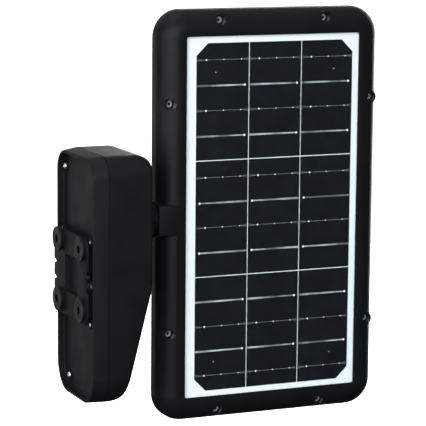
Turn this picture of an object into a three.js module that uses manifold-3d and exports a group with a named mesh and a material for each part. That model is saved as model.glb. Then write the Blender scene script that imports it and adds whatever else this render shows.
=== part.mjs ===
// A solar-powered wall camera, built as separate pieces, in millimetres.
//
// The tall housing hangs on a wall bracket and looks out through the window in its sloping lower front.
// A solar panel stands out from the front of the housing on a hollow swivel, and turns about its level axis.
//
// Frame: +Z is up. The wall is the plane y = 0 and the camera faces -Y. The origin is the middle of the four
// wall pads. At rest the panel stands upright with its glass facing -X.
import * as THREE from "three";
import { mergeVertices } from "three/addons/utils/BufferGeometryUtils.js";
import Module from "manifold-3d";

const wasm = await Module();
wasm.setup();

// ---------------------------------------------------------------- driving dimensions

const GAP = 0.25; // between pieces that would touch
const WALL = 2.5; // thickness of the moulded shells

// Wall bracket: four pads on bosses, a plate, and a hollow tongue that the housing hangs on.
const PAD = { radius: 11.75, thickness: 1.75, spanX: 60, spanZ: 57 };
const BOSS_RADIUS = 10;
const WALL_SCREW = { radius: 3.3, headRadius: 5.4, headDepth: 3.2 };
const PLATE = { left: -43, right: 48, top: 39, bottom: -42, rear: -4, front: -5.8, corner: 10 };
const TONGUE = { neck: 21, flange: 26, top: 20, bottom: -22, flangeRear: -11, front: -13.25 };
const POCKET = { halfWidth: 17.5, top: 16.5, bottom: -18.5, floor: -9 };
const NOTCH = { depth: 7, height: 5.5, z: -2.5, offset: 7.5 }; // the pair of V notches in the plate's +X edge
const LATCH = { notchX: -39.5, top: 8, bottom: -11, tabX: -45.9, tabTop: 6.5, tabBottom: 2 };
const LOCK = { y: -8.4, z: -4, radius: 4.4, inner: -42.25, outer: -44.6, head: -46 };

// Housing: a shallow rear cover and a deep front shell that meet on a level seam.
const REAR = { y: -7.5, halfWidth: 49.25, top: 112, bottom: -117.5, topRadius: 20, bottomRadius: 27 };
const SEAM = { y: -22.5, halfWidth: 50.5, top: 114, bottom: -118, topRadius: 19, bottomRadius: 28 };
const SEAM_GAP = 0.5; // the gasket's thickness
const FRONT = { y: -66, topRadius: 11, breakZ: -10, breakRadius: 60, slope: 14.2, toeRadius: 14 };
const RECESS = { rim: 3, floor: -13.5 };
const SEAT = { halfWidth: 33, top: 37.5, bottom: -44, rear: -8.25, lip: -10.75, corner: 3, ear: 4.3 };
const SEAT_SCREWS = [[37.8, 35.5], [-37.8, 35.5], [37.8, -41], [-37.8, -41]];
const COVER_SCREWS = [[40.5, 95.5], [-40.5, 95.5], [30, -103.5], [-40.5, -88]];

// Swivel: a collar on the housing, a neck on the panel, and a hollow tube through both for the lead.
const AXIS_Z = 47;
const TUBE = { radius: 10.3, bore: 6.5, rear: -50, front: -104 };
const COLLAR = { radius: 25.5, front: -78 };
const NECK = { radius: 17, rear: -78.25, front: -84.75 };
const SWIVEL_BORE = 10.6;
const NUT = { radius: 17, front: -61.5, rear: -54 };
const WASHER = { radius: 15.5, front: -63.25, rear: -61.75 };

// Solar panel: its front plane, the window in the frame, and the frame's rounded section outside that window.
const PANEL = { frontX: -18, windowY: -111.7, windowWidth: 178, windowHeight: 343 };
const FRAME = { width: 24.5, depth: 27, lip: 5.5, radius: 19, wall: 2.5, windowCorner: 2 };
const LAMINATE = { overlap: 3, top: 0.9, glass: 2, cell: 0.4, backsheet: 0.8 };
const CELLS = { width: 160.75, height: 331.8, gap: 1.6, clip: 12.5, shiftY: -1.6 };
const RIBBON = { width: 2.2, thickness: 0.3, places: [0.255, 0.7] };
const PANEL_SCREW = { inset: 14.6, sideZ: 109, endY: 54, floor: 9, pocket: 4.3, column: 6.2 };
const HUB = { rear: -85, front: -108.25, half: 14.5, bore: 10.55 };

// Camera window on the sloping front, and the service pocket in the +X side.
const SLOPE_Z = -53;
const FASCIA = { halfWidth: 31, halfHeight: 37, corner: 10, proud: 0.8 };
const LENS = { z: 12, bezel: 15, bore: 9.6, proud: 4.8, glass: 9.3, barrel: 8.2, length: 16 };
const LED = { x: 20, z: -8, radius: 6.3 };
const PIR = { z: -22, radius: 9.3, proud: 6.5 };
const SERVICE = { rear: -34, front: -47, top: -18, bottom: -52, depth: 10, wall: 2 };
const FLAP = { rear: -31, front: -50, top: -15, bottom: -55, thickness: 1.5, plug: 2 };
const BUTTON = { radius: 3, y: -40.5, z: -24, proud: 1.1, flange: 4 };

// ---------------------------------------------------------------- solids from three.js geometry

/** A closed three.js geometry as a manifold-3d solid. */
function solid(geometry) {
  const bare = geometry.index ? geometry.toNonIndexed() : geometry.clone();
  bare.deleteAttribute("normal");
  bare.deleteAttribute("uv");
  const merged = mergeVertices(bare, 1e-4);
  const mesh = new wasm.Mesh({
    numProp: 3,
    vertProperties: new Float32Array(merged.attributes.position.array),
    triVerts: new Uint32Array(merged.index.array),
  });
  return new wasm.Manifold(mesh);
}

/** Joins a list of solids. */
function union(solids) {
  return solids.reduce((whole, next) => whole.add(next));
}

/** Cuts a list of solids out of one. */
function cut(body, tools) {
  return tools.reduce((left, tool) => left.subtract(tool), body);
}

/** A manifold-3d solid as a three.js geometry. */
function geometryOf(manifold) {
  const mesh = manifold.getMesh();
  const points = [];
  for (let i = 0; i < mesh.vertProperties.length; i += mesh.numProp)
    points.push(mesh.vertProperties[i], mesh.vertProperties[i + 1], mesh.vertProperties[i + 2]);
  const geometry = new THREE.BufferGeometry();
  geometry.setAttribute("position", new THREE.Float32BufferAttribute(points, 3));
  geometry.setIndex(Array.from(mesh.triVerts));
  geometry.computeVertexNormals();
  return geometry;
}

/** A box between two corners. */
function box([x0, x1], [y0, y1], [z0, z1]) {
  const geometry = new THREE.BoxGeometry(x1 - x0, y1 - y0, z1 - z0);
  geometry.translate((x0 + x1) / 2, (y0 + y1) / 2, (z0 + z1) / 2);
  return solid(geometry);
}

/** A solid of revolution about Y through (x, z). The profile is a list of [radius, y], ending on the axis. */
function turned(profile, x, z, segments = 24) {
  const points = profile.map(([radius, y]) => new THREE.Vector2(radius, y));
  const geometry = new THREE.LatheGeometry(points, segments);
  geometry.translate(x, 0, z);
  const body = solid(geometry);
  return body.volume() < 0 ? solid(flipped(geometry)) : body;
}

/** The same geometry with every face turned round. */
function flipped(geometry) {
  const turnedRound = geometry.clone();
  const index = turnedRound.index.array;
  for (let i = 0; i < index.length; i += 3) [index[i + 1], index[i + 2]] = [index[i + 2], index[i + 1]];
  return turnedRound;
}

/** A round bar along Y from y0 to y1, with its axis through (x, z). */
function rodY(radius, y0, y1, x, z, segments = 24) {
  const geometry = new THREE.CylinderGeometry(radius, radius, y1 - y0, segments);
  geometry.translate(x, (y0 + y1) / 2, z);
  return solid(geometry);
}

/** A round bar along X from x0 to x1, with its axis through (y, z). */
function rodX(radius, x0, x1, y, z, segments = 16) {
  const geometry = new THREE.CylinderGeometry(radius, radius, x1 - x0, segments);
  geometry.rotateZ(Math.PI / 2);
  geometry.translate((x0 + x1) / 2, y, z);
  return solid(geometry);
}

/** A closed outline whose corners [a, b, radius] are rounded with true arcs. Corners run anticlockwise. */
function filleted(corners) {
  const shape = new THREE.Shape();
  corners.forEach(([a, b, radius], i) => {
    const here = new THREE.Vector2(a, b);
    const [beforeA, beforeB] = corners[(i + corners.length - 1) % corners.length];
    const [afterA, afterB] = corners[(i + 1) % corners.length];
    const before = new THREE.Vector2(beforeA, beforeB).sub(here).normalize();
    const after = new THREE.Vector2(afterA, afterB).sub(here).normalize();
    const half = Math.acos(THREE.MathUtils.clamp(before.dot(after), -1, 1)) / 2;
    if (!radius) {
      if (i) shape.lineTo(a, b);
      else shape.moveTo(a, b);
      return;
    }
    const reach = radius / Math.tan(half);
    const start = here.clone().addScaledVector(before, reach);
    const end = here.clone().addScaledVector(after, reach);
    const centre = before.clone().add(after).normalize().multiplyScalar(radius / Math.sin(half)).add(here);
    if (i) shape.lineTo(start.x, start.y);
    else shape.moveTo(start.x, start.y);
    const from = Math.atan2(start.y - centre.y, start.x - centre.x);
    const to = Math.atan2(end.y - centre.y, end.x - centre.x);
    shape.absarc(centre.x, centre.y, radius, from, to, before.cross(after) > 0);
  });
  return shape;
}

/** A rectangle from a0 to a1 and b0 to b1, with every corner rounded. */
function rounded([a0, a1], [b0, b1], radius) {
  return filleted([[a0, b0, radius], [a1, b0, radius], [a1, b1, radius], [a0, b1, radius]]);
}

/** The housing's outline in (x, z), drawn in by an inset. */
function housingOutline({ halfWidth, top, bottom, topRadius, bottomRadius }, inset = 0) {
  const half = halfWidth - inset;
  const upper = topRadius - inset;
  const lower = bottomRadius - inset;
  return filleted([
    [-half, bottom + inset, lower], [half, bottom + inset, lower],
    [half, top - inset, upper], [-half, top - inset, upper],
  ]);
}

/** The housing's side profile in (y, z), drawn in by an inset: upright above, sloping back below. */
function sideProfile(inset = 0) {
  const lean = THREE.MathUtils.degToRad(FRONT.slope);
  const front = FRONT.y + inset;
  const bottom = SEAM.bottom + inset;
  const breakZ = FRONT.breakZ + inset * Math.tan(lean / 2);
  const toe = front + (breakZ - bottom) * Math.tan(lean);
  return filleted([
    [0, bottom, 0], [0, SEAM.top - inset, 0],
    [front, SEAM.top - inset, FRONT.topRadius - inset],
    [front, breakZ, FRONT.breakRadius],
    [toe, bottom, FRONT.toeRadius - inset],
  ]);
}

const SEGMENTS = 3; // three.js cuts each rounded corner into twice this many facets
const EXTRUSION = { bevelEnabled: false, curveSegments: SEGMENTS };

/** An outline in (x, z) run along Y. */
function alongY(shape, y0, y1) {
  const geometry = new THREE.ExtrudeGeometry(shape, { ...EXTRUSION, depth: y1 - y0 });
  geometry.rotateX(Math.PI / 2);
  geometry.translate(0, y1, 0);
  return solid(geometry);
}

/** An outline in (y, z) run along X. */
function alongX(shape, x0, x1) {
  const geometry = new THREE.ExtrudeGeometry(shape, { ...EXTRUSION, depth: x1 - x0 });
  geometry.applyMatrix4(new THREE.Matrix4().makeBasis(
    new THREE.Vector3(0, 1, 0), new THREE.Vector3(0, 0, 1), new THREE.Vector3(1, 0, 0),
  ));
  geometry.translate(x0, 0, 0);
  return solid(geometry);
}

/** A closed solid through rings of points. Rings are capped at both ends, or joined end to end as a loop. */
function throughRings(rings, loop = false) {
  const size = rings[0].length;
  const index = [];
  const spans = loop ? rings.length : rings.length - 1;
  for (let r = 0; r < spans; r++)
    for (let i = 0; i < size; i++) {
      const a = r * size + i;
      const b = r * size + ((i + 1) % size);
      const c = ((r + 1) % rings.length) * size + i;
      const d = ((r + 1) % rings.length) * size + ((i + 1) % size);
      index.push(a, b, d, a, d, c);
    }
  if (!loop)
    for (let i = 1; i < size - 1; i++) {
      const last = (rings.length - 1) * size;
      index.push(0, i + 1, i, last, last + i, last + i + 1);
    }
  const geometry = new THREE.BufferGeometry();
  geometry.setAttribute("position", new THREE.Float32BufferAttribute(rings.flat().flat(), 3));
  geometry.setIndex(index);
  const body = solid(geometry);
  return body.volume() < 0 ? solid(flipped(geometry)) : body;
}

/** Points round a shape, without the repeated last one. */
function ringOf(shape) {
  const points = shape.getPoints(SEGMENTS);
  if (points[0].distanceTo(points[points.length - 1]) < 1e-6) points.pop();
  return points;
}

// ---------------------------------------------------------------- materials and placing

function finish(colour, roughness, metalness = 0) {
  return new THREE.MeshStandardMaterial({ color: colour, roughness, metalness });
}

const MATERIALS = {
  plastic: finish(0x1a1b1c, 0.55),
  darkPlastic: finish(0x121314, 0.6),
  gloss: finish(0x060607, 0.12),
  rubber: finish(0x0e0e0f, 0.85),
  steel: finish(0xb9bcc0, 0.3, 1),
  glass: finish(0xdfe8ee, 0.05),
  silicon: finish(0x11141c, 0.3),
  backsheet: finish(0xe6edf1, 0.45),
  frosted: finish(0xd9dcdb, 0.5),
  board: finish(0x124a2c, 0.5),
  batteryWrap: finish(0x2b5ea8, 0.4),
  lead: finish(0x151515, 0.6),
};

const camera = new THREE.Group();
const slopeGroup = new THREE.Group(); // local -Y is out of the sloping front, local Z runs up it
const lean = THREE.MathUtils.degToRad(FRONT.slope);
slopeGroup.position.set(0, FRONT.y + (FRONT.breakZ - SLOPE_Z) * Math.tan(lean), SLOPE_Z);
slopeGroup.rotation.x = lean;
slopeGroup.updateMatrixWorld(true);
camera.add(slopeGroup);

function place(name, body, material, group = camera) {
  const mesh = new THREE.Mesh(geometryOf(body), MATERIALS[material]);
  mesh.name = name;
  group.add(mesh);
}

/** A solid made in the sloping group's own axes, moved to the object's axes so that it can cut the shell. */
function fromSlope(body) {
  return body.transform(slopeGroup.matrixWorld.elements);
}

/** A pan-head screw along Y: head outwards towards +Y, shank towards -Y. */
function screwY(x, z, seatY, { head = 3.1, height = 1.9, shank = 1.5, length = 12 }) {
  const profile = [
    [0, seatY - length], [shank, seatY - length], [shank, seatY], [head, seatY],
    [head, seatY + height * 0.55], [head * 0.72, seatY + height], [0, seatY + height],
  ];
  return turned(profile, x, z, 12);
}

// ---------------------------------------------------------------- wall bracket

const quarters = [[1, 1], [-1, 1], [1, -1], [-1, -1]];
const padPlaces = quarters.map(([i, k]) => [(i * PAD.spanX) / 2, (k * PAD.spanZ) / 2]);

function bracketPlate() {
  const outline = rounded([PLATE.left, PLATE.right], [PLATE.bottom, PLATE.top], PLATE.corner);
  const plate = alongY(outline, PLATE.front, PLATE.rear);
  const bosses = padPlaces.map(([x, z]) => rodY(BOSS_RADIUS, PLATE.front, -PAD.thickness, x, z));
  const tongue = [
    box([-TONGUE.neck, TONGUE.neck], [TONGUE.flangeRear, PLATE.front + 1], [TONGUE.bottom, TONGUE.top]),
    box([-TONGUE.flange, TONGUE.flange], [TONGUE.front, TONGUE.flangeRear], [TONGUE.bottom, TONGUE.top]),
  ];
  const notches = [-1, 1].map((end) => {
    const middle = NOTCH.z + end * NOTCH.offset;
    const outer = PLATE.right + 1;
    const wedge = filleted([
      [PLATE.right - NOTCH.depth, middle, 0], [outer, middle - NOTCH.height / 2, 0],
      [outer, middle + NOTCH.height / 2, 0],
    ]);
    return alongY(wedge, PLATE.front - 1, PLATE.rear + 1);
  });
  const latchNotch = box(
    [PLATE.left - 1, LATCH.notchX], [PLATE.front - 1, PLATE.rear + 1], [LATCH.bottom, LATCH.top],
  );
  const latch = [
    box([LATCH.tabX, LATCH.notchX + 1], [PLATE.front, PLATE.rear - 0.4], [LATCH.tabBottom, LATCH.tabTop]),
    box([LOCK.outer, LATCH.notchX + 1], [-7.9, PLATE.front + 0.8], [LOCK.z - 2, LOCK.z + 2]),
    rodX(LOCK.radius, LOCK.outer, LOCK.inner, LOCK.y, LOCK.z, 20),
  ];
  const holes = padPlaces.flatMap(([x, z]) => [
    rodY(WALL_SCREW.radius, PLATE.front - 1, 1, x, z, 16),
    rodY(WALL_SCREW.headRadius, PLATE.front - 1, PLATE.front + WALL_SCREW.headDepth - 1.2, x, z, 16),
  ]);
  const pocketWidth = [-POCKET.halfWidth, POCKET.halfWidth];
  const pocket = box(pocketWidth, [POCKET.floor, 0], [POCKET.bottom, POCKET.top]);
  const screwHole = rodX(1.3, LOCK.outer - 1, LOCK.inner + 1, LOCK.y, LOCK.z, 12);
  return cut(union([cut(plate, [...notches, latchNotch]), ...bosses, ...tongue, ...latch]), [
    ...holes, pocket, screwHole,
  ]);
}

place("bracket_plate", bracketPlate(), "plastic");
padPlaces.forEach(([x, z], i) => {
  const pad = rodY(PAD.radius, -PAD.thickness, 0, x, z);
  const hole = rodY(WALL_SCREW.radius + 0.5, -3, 1, x, z, 16);
  place(`wall_pad_${i + 1}`, pad.subtract(hole), "rubber");
});

// ---------------------------------------------------------------- housing shells

function rearCover() {
  const seamY = SEAM.y + SEAM_GAP / 2;
  const rear = ringOf(housingOutline(REAR));
  const seam = ringOf(housingOutline(SEAM));
  const outer = throughRings([
    rear.map((p) => [p.x, REAR.y, p.y]),
    seam.map((p) => [p.x, seamY, p.y]),
  ]);
  const recess = alongY(housingOutline(REAR, RECESS.rim), RECESS.floor, 0);
  const hollow = alongY(housingOutline(SEAM, WALL + 1), seamY - 1, RECESS.floor - WALL);
  const shell = outer.subtract(recess).subtract(hollow);
  const columns = [
    ...COVER_SCREWS.map(([x, z]) => rodY(4, seamY, RECESS.floor - 1, x, z, 16)),
    ...SEAT_SCREWS.map(([x, z]) => rodY(3.5, seamY + 1, RECESS.floor - 1, x, z, 16)),
  ];
  const holes = [
    ...COVER_SCREWS.map(([x, z]) => rodY(1.8, seamY - 1, RECESS.floor + 1, x, z, 12)),
    ...SEAT_SCREWS.map(([x, z]) => rodY(1.7, seamY + 2, RECESS.floor + 1, x, z, 12)),
  ];
  return cut(union([shell, ...columns]), holes);
}

/** The walls of the service pocket, and the space in it. */
function servicePocket() {
  const { rear, front, top, bottom, depth, wall } = SERVICE;
  const side = SEAM.halfWidth;
  const across = [front - wall, rear + wall];
  const walls = box([side - depth - wall, side - 0.5], across, [bottom - wall, top + wall]);
  const space = box([side - depth, side + 1], [front, rear], [bottom, top]);
  return { walls, space };
}

function frontShell() {
  const seamY = SEAM.y - SEAM_GAP / 2;
  const outer = alongY(housingOutline(SEAM), FRONT.y, seamY).intersect(alongX(sideProfile(), -60, 60));
  const within = alongX(sideProfile(WALL), -60, 60);
  const inner = alongY(housingOutline(SEAM, WALL), FRONT.y, seamY + 1).intersect(within);
  const columns = COVER_SCREWS.map(([x, z]) => rodY(4, FRONT.y, seamY, x, z, 16).intersect(outer));
  const pocket = servicePocket();
  const windowHalf = [FASCIA.halfWidth + GAP, FASCIA.halfHeight + GAP];
  const windowOutline = rounded(...windowHalf.map((half) => [-half, half]), FASCIA.corner);
  const window = fromSlope(alongY(windowOutline, -8, 8));
  const side = SEAM.halfWidth - SERVICE.depth - SERVICE.wall;
  const floor = [side - 1, side + SERVICE.wall + 1];
  const ports = [
    rodX(BUTTON.radius + 0.4, ...floor, BUTTON.y, BUTTON.z),
    box(floor, [-42.5, -38.5], [-38, -28]),
    box(floor, [-42.2, -38.8], [-50.8, -39.2]),
  ];
  const through = [side, SEAM.halfWidth + 1];
  const grille = [-37.5, -33.5, -29.5].map((y) => box(through, [y - 0.8, y + 0.8], [-85, -71]));
  const holes = COVER_SCREWS.map(([x, z]) => rodY(1.7, -42, seamY + 1, x, z, 12));
  const swivel = rodY(SWIVEL_BORE, FRONT.y - 1, FRONT.y + WALL + 1, 0, AXIS_Z, 32);
  const body = union([outer.subtract(inner), ...columns, pocket.walls.intersect(outer)]);
  return cut(body, [pocket.space, window, ...ports, ...grille, ...holes, swivel]);
}

function mountSeat() {
  const outline = rounded([-SEAT.halfWidth, SEAT.halfWidth], [SEAT.bottom, SEAT.top], SEAT.corner);
  const depth = [RECESS.floor, SEAT.rear];
  const ears = SEAT_SCREWS.flatMap(([x, z]) => {
    const across = [Math.min(x, x - Math.sign(x) * 10), Math.max(x, x - Math.sign(x) * 10)];
    return [rodY(SEAT.ear, ...depth, x, z, 20), box(across, depth, [z - 2, z + 2])];
  });
  const block = union([alongY(outline, ...depth), ...ears]);
  const reach = TONGUE.top + 0.5;
  const neck = TONGUE.neck + 0.5;
  const flange = TONGUE.flange + 0.5;
  const neckSlot = box([-neck, neck], [RECESS.floor - 1, 0], [SEAT.bottom - 1, reach]);
  const channel = box([-flange, flange], [RECESS.floor - 1, SEAT.lip], [SEAT.bottom - 1, reach]);
  const holes = SEAT_SCREWS.flatMap(([x, z]) => [
    rodY(1.7, RECESS.floor - 1, 0, x, z, 12), rodY(3.3, SEAT.rear - 2, 0, x, z, 16),
  ]);
  return cut(block, [neckSlot, channel, ...holes]);
}

function coverGasket() {
  const outer = alongY(housingOutline(SEAM, 0.75), SEAM.y - SEAM_GAP / 2, SEAM.y + SEAM_GAP / 2);
  return outer.subtract(alongY(housingOutline(SEAM, 2.25), SEAM.y - 1, SEAM.y + 1));
}

place("rear_cover", rearCover(), "plastic");
place("front_shell", frontShell(), "plastic");
place("cover_gasket", coverGasket(), "rubber");
place("mount_seat", mountSeat(), "plastic");
SEAT_SCREWS.forEach(([x, z], i) => {
  const screw = screwY(x, z, SEAT.rear - 2, { head: 3, height: 1.75, length: 9 });
  place(`seat_screw_${i + 1}`, screw, "steel");
});
COVER_SCREWS.forEach(([x, z], i) => {
  place(`cover_screw_${i + 1}`, screwY(x, z, RECESS.floor + GAP, { length: 22 }), "steel");
});
const lockShank = rodX(1.2, LOCK.outer - 0.2, LOCK.inner - 0.3, LOCK.y, LOCK.z, 12);
place("lock_screw", lockShank.add(rodX(1.9, LOCK.head, LOCK.outer - 0.1, LOCK.y, LOCK.z, 12)), "steel");

// ---------------------------------------------------------------- inside the housing

const BATTERY = { radius: 9.2, y: -31, bottom: 15, top: 80, pitch: 20 };

function batteryCell(x) {
  const { radius, y, bottom, top } = BATTERY;
  const cell = new THREE.LatheGeometry([
    [0, bottom], [radius - 0.6, bottom], [radius, bottom + 0.6],
    [radius, top - 2.4], [radius - 0.6, top - 1.8], [3, top - 1.8], [3, top], [0, top],
  ].map(([r, h]) => new THREE.Vector2(r, h)), 20);
  cell.rotateX(Math.PI / 2);
  cell.translate(x, y, 0);
  return solid(cell);
}

/** A bar of round section along Z, used to hollow the battery tray. */
function rodZ(radius, z0, z1, x, y) {
  const geometry = new THREE.CylinderGeometry(radius, radius, z1 - z0, 24);
  geometry.rotateX(Math.PI / 2);
  geometry.translate(x, y, (z0 + z1) / 2);
  return solid(geometry);
}

const cellPlaces = [-BATTERY.pitch, 0, BATTERY.pitch];
cellPlaces.forEach((x, i) => place(`battery_cell_${i + 1}`, batteryCell(x), "batteryWrap"));
place("battery_tray", cut(
  box([-31.5, 31.5], [-30, -20.5], [12, 83]),
  cellPlaces.map((x) => rodZ(BATTERY.radius + 0.3, BATTERY.bottom - 0.3, BATTERY.top + 0.3, x, BATTERY.y)),
), "darkPlastic");
place("main_board", box([-32, 32], [-19.6, -18], [-50, 88]), "board");
place("antenna", box([-30, 30], [-51, -50], [96, 106]), "board");
place("speaker", rodX(9, 41, 47.75, -33.5, -78, 20), "darkPlastic");

// ---------------------------------------------------------------- camera window on the slope

const fasciaHoles = [
  rodY(LENS.barrel + 0.3, -8, 8, 0, LENS.z, 20),
  rodY(LED.radius + 0.3, -8, 8, LED.x, LED.z, 16),
  rodY(LED.radius + 0.3, -8, 8, -LED.x, LED.z, 16),
  rodY(PIR.radius + 0.3, -8, 8, 0, PIR.z, 20),
];
const fasciaOutline = rounded(
  [-FASCIA.halfWidth, FASCIA.halfWidth], [-FASCIA.halfHeight, FASCIA.halfHeight], FASCIA.corner,
);
const fascia = cut(alongY(fasciaOutline, -FASCIA.proud, WALL), fasciaHoles);
place("camera_fascia", fascia, "gloss", slopeGroup);

function lensBezel() {
  const rear = -FASCIA.proud - 0.3;
  const ring = turned([
    [0, rear], [LENS.bezel, rear], [LENS.bezel, 1 - LENS.proud],
    [LENS.bezel - 1, -LENS.proud], [0, -LENS.proud],
  ], 0, LENS.z, 28);
  return ring.subtract(rodY(LENS.bore, -9, 9, 0, LENS.z, 28));
}

place("lens_bezel", lensBezel(), "darkPlastic", slopeGroup);
const lensGlass = turned([
  [0, -2.6], [LENS.glass, -2.6], [LENS.glass, -3.4], [6.4, -3.9], [3.3, -4.2], [0, -4.3],
], 0, LENS.z, 24);
place("lens_glass", lensGlass, "glass", slopeGroup);

const lensBarrel = turned([
  [0, LENS.length], [6, LENS.length], [6, 6], [LENS.barrel, 6], [LENS.barrel, -2.2], [5, -2.2], [3.4, -0.6],
  [0, -0.6],
], 0, LENS.z, 20);
place("lens_barrel", lensBarrel, "gloss", slopeGroup);

const sensorBoard = box([-17, 17], [LENS.length + 0.3, LENS.length + 1.9], [LENS.z - 17, LENS.z + 17]);
place("sensor_board", sensorBoard, "board", slopeGroup);

for (const [name, side] of [["left", 1], ["right", -1]]) {
  const profile = [[0, 4], [LED.radius, 4], [LED.radius, -1], [4.8, -2.1], [2.5, -2.7], [0, -2.9]];
  place(`led_lens_${name}`, turned(profile, side * LED.x, LED.z, 16), "frosted", slopeGroup);
}

function pirLens() {
  const { radius, proud, z } = PIR;
  const steps = 5;
  const dome = [[0, 2], [radius, 2], [radius, -FASCIA.proud]];
  for (let i = 1; i <= steps; i++) {
    const turn = (i / steps) * (Math.PI / 2);
    const height = FASCIA.proud + (proud - FASCIA.proud) * Math.sin(turn);
    dome.push([i < steps ? radius * Math.cos(turn) : 0, -height]);
  }
  return turned(dome, 0, z, 24);
}

place("pir_lens", pirLens(), "frosted", slopeGroup);

// ---------------------------------------------------------------- service pocket

const pocketFloor = SEAM.halfWidth - SERVICE.depth;
const portBoard = pocketFloor - SERVICE.wall - 5;
place("port_board", box([portBoard, portBoard + 1.6], [-48, -33], [-54, -16]), "board");

/** A socket: a block with a slot sunk in its outer end. */
function socket(outer, depth, [y0, y1], [z0, z1]) {
  const block = box([portBoard + 1.9, outer], [y0, y1], [z0, z1]);
  return block.subtract(box([outer - depth, outer + 2], [y0 + 0.8, y1 - 0.8], [z0 + 0.8, z1 - 0.8]));
}

place("usb_socket", socket(pocketFloor + 0.75, 4.5, [-42.2, -38.8], [-37.6, -28.4]), "steel");
place("card_slot", socket(pocketFloor + 0.5, 3.5, [-41.9, -39.1], [-50.4, -39.6]), "darkPlastic");

const buttonRear = pocketFloor - SERVICE.wall - 0.3;
const buttonCap = rodX(BUTTON.radius, buttonRear - 0.1, pocketFloor + BUTTON.proud, BUTTON.y, BUTTON.z);
const buttonFlange = rodX(BUTTON.flange, buttonRear - 1.4, buttonRear, BUTTON.y, BUTTON.z);
place("power_button", buttonCap.add(buttonFlange), "rubber");

function serviceFlap() {
  const outside = SEAM.halfWidth + GAP;
  const outline = rounded([FLAP.front, FLAP.rear], [FLAP.bottom, FLAP.top], 3);
  const cover = alongX(outline, outside, outside + FLAP.thickness);
  const plug = box(
    [SEAM.halfWidth - FLAP.plug, outside + 0.5], [SERVICE.front + 0.4, SERVICE.rear - 0.4],
    [SERVICE.bottom + 0.4, SERVICE.top - 0.4],
  );
  return cover.add(plug);
}

place("service_flap", serviceFlap(), "rubber");
const anchorOutline = rounded([FLAP.rear + 0.3, FLAP.rear + 5], [-45, -25], 1.5);
const anchor = alongX(anchorOutline, SEAM.halfWidth, SEAM.halfWidth + GAP + FLAP.thickness);
place("flap_anchor", anchor, "rubber");

// ---------------------------------------------------------------- swivel

function ringY(radius, bore, y0, y1, chamfer = 1) {
  const outer = turned([[0, y0], [radius - chamfer, y0], [radius, y0 + chamfer], [radius, y1 - chamfer],
    [radius - chamfer, y1], [0, y1]], 0, AXIS_Z, 32);
  return outer.subtract(rodY(bore, y0 - 1, y1 + 1, 0, AXIS_Z, 32));
}

place("swivel_collar", ringY(COLLAR.radius, SWIVEL_BORE, COLLAR.front, FRONT.y, 1.5), "plastic");
place("neck_ring", ringY(NECK.radius, HUB.bore, NECK.front, NECK.rear, 0.5), "darkPlastic");
place("pivot_tube", rodY(TUBE.radius, TUBE.front, TUBE.rear, 0, AXIS_Z, 32)
  .subtract(rodY(TUBE.bore, TUBE.front - 1, TUBE.rear + 1, 0, AXIS_Z, 20)), "steel");
place("wave_washer", ringY(WASHER.radius, HUB.bore, WASHER.front, WASHER.rear, 0.3), "steel");
place("pivot_nut", rodY(NUT.radius, NUT.front, NUT.rear, 0, AXIS_Z, 6)
  .subtract(rodY(HUB.bore, NUT.front - 1, NUT.rear + 1, 0, AXIS_Z, 32)), "steel");

// ---------------------------------------------------------------- solar panel

const windowTopZ = AXIS_Z + PANEL.windowHeight / 2;
const windowBottomZ = AXIS_Z - PANEL.windowHeight / 2;
const windowFarY = PANEL.windowY - PANEL.windowWidth;
const windowMiddleY = (PANEL.windowY + windowFarY) / 2;
const panelBackX = PANEL.frontX + FRAME.depth;
const OUTER_CORNER = FRAME.windowCorner + FRAME.width;

/** A rectangle round the window in (y, z), grown by some distance on every side. */
function aroundWindow(grow, corner) {
  const height = [windowBottomZ - grow, windowTopZ + grow];
  return rounded([windowFarY - grow, PANEL.windowY + grow], height, corner);
}

/** The frame's section as [outwards from the window, back from the front plane]. */
function frameSection() {
  const { width, depth, lip, radius, wall } = FRAME;
  const steps = 5;
  const arc = (r) => Array.from({ length: steps + 1 }, (_, i) => {
    const turn = (i / steps) * (Math.PI / 2);
    return [lip + r * Math.sin(turn), radius - r * Math.cos(turn)];
  });
  const { overlap, top } = LAMINATE;
  return [
    [0, 0], ...arc(radius), [width, depth], [width - wall, depth], ...arc(radius - wall).reverse(),
    [overlap + 0.3, wall], [overlap + 0.3, top - 0.1], [0, top - 0.1],
  ];
}

/** The section swept round the window, whose corners are rounded so that the outside is rounded too. */
function sweptFrame() {
  const stations = [];
  const { windowCorner } = FRAME;
  const turns = 2 * SEGMENTS;
  const corners = [
    [PANEL.windowY, windowTopZ, 0], [windowFarY, windowTopZ, 90],
    [windowFarY, windowBottomZ, 180], [PANEL.windowY, windowBottomZ, 270],
  ];
  for (const [y, z, start] of corners)
    for (let i = 0; i <= turns; i++) {
      const angle = THREE.MathUtils.degToRad(start + (90 * i) / turns);
      const middleY = y - Math.sign(y - windowMiddleY) * windowCorner;
      const middleZ = z - Math.sign(z - AXIS_Z) * windowCorner;
      stations.push({ y: middleY, z: middleZ, out: [Math.cos(angle), Math.sin(angle)] });
    }
  const section = frameSection();
  const rings = stations.map(({ y, z, out }) => section.map(([away, back]) => [
    PANEL.frontX + back, y + out[0] * (windowCorner + away), z + out[1] * (windowCorner + away),
  ]));
  return throughRings(rings, true);
}

const panelScrews = [];
for (const side of [1, -1]) {
  for (const end of [1, -1]) {
    const nearY = side > 0 ? PANEL.windowY + PANEL_SCREW.inset : windowFarY - PANEL_SCREW.inset;
    panelScrews.push([nearY, AXIS_Z + end * PANEL_SCREW.sideZ]);
    const endZ = AXIS_Z + end * (PANEL.windowHeight / 2 + PANEL_SCREW.inset);
    panelScrews.push([windowMiddleY + side * PANEL_SCREW.endY, endZ]);
  }
}

const screwSeatX = PANEL.frontX + PANEL_SCREW.floor;

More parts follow.
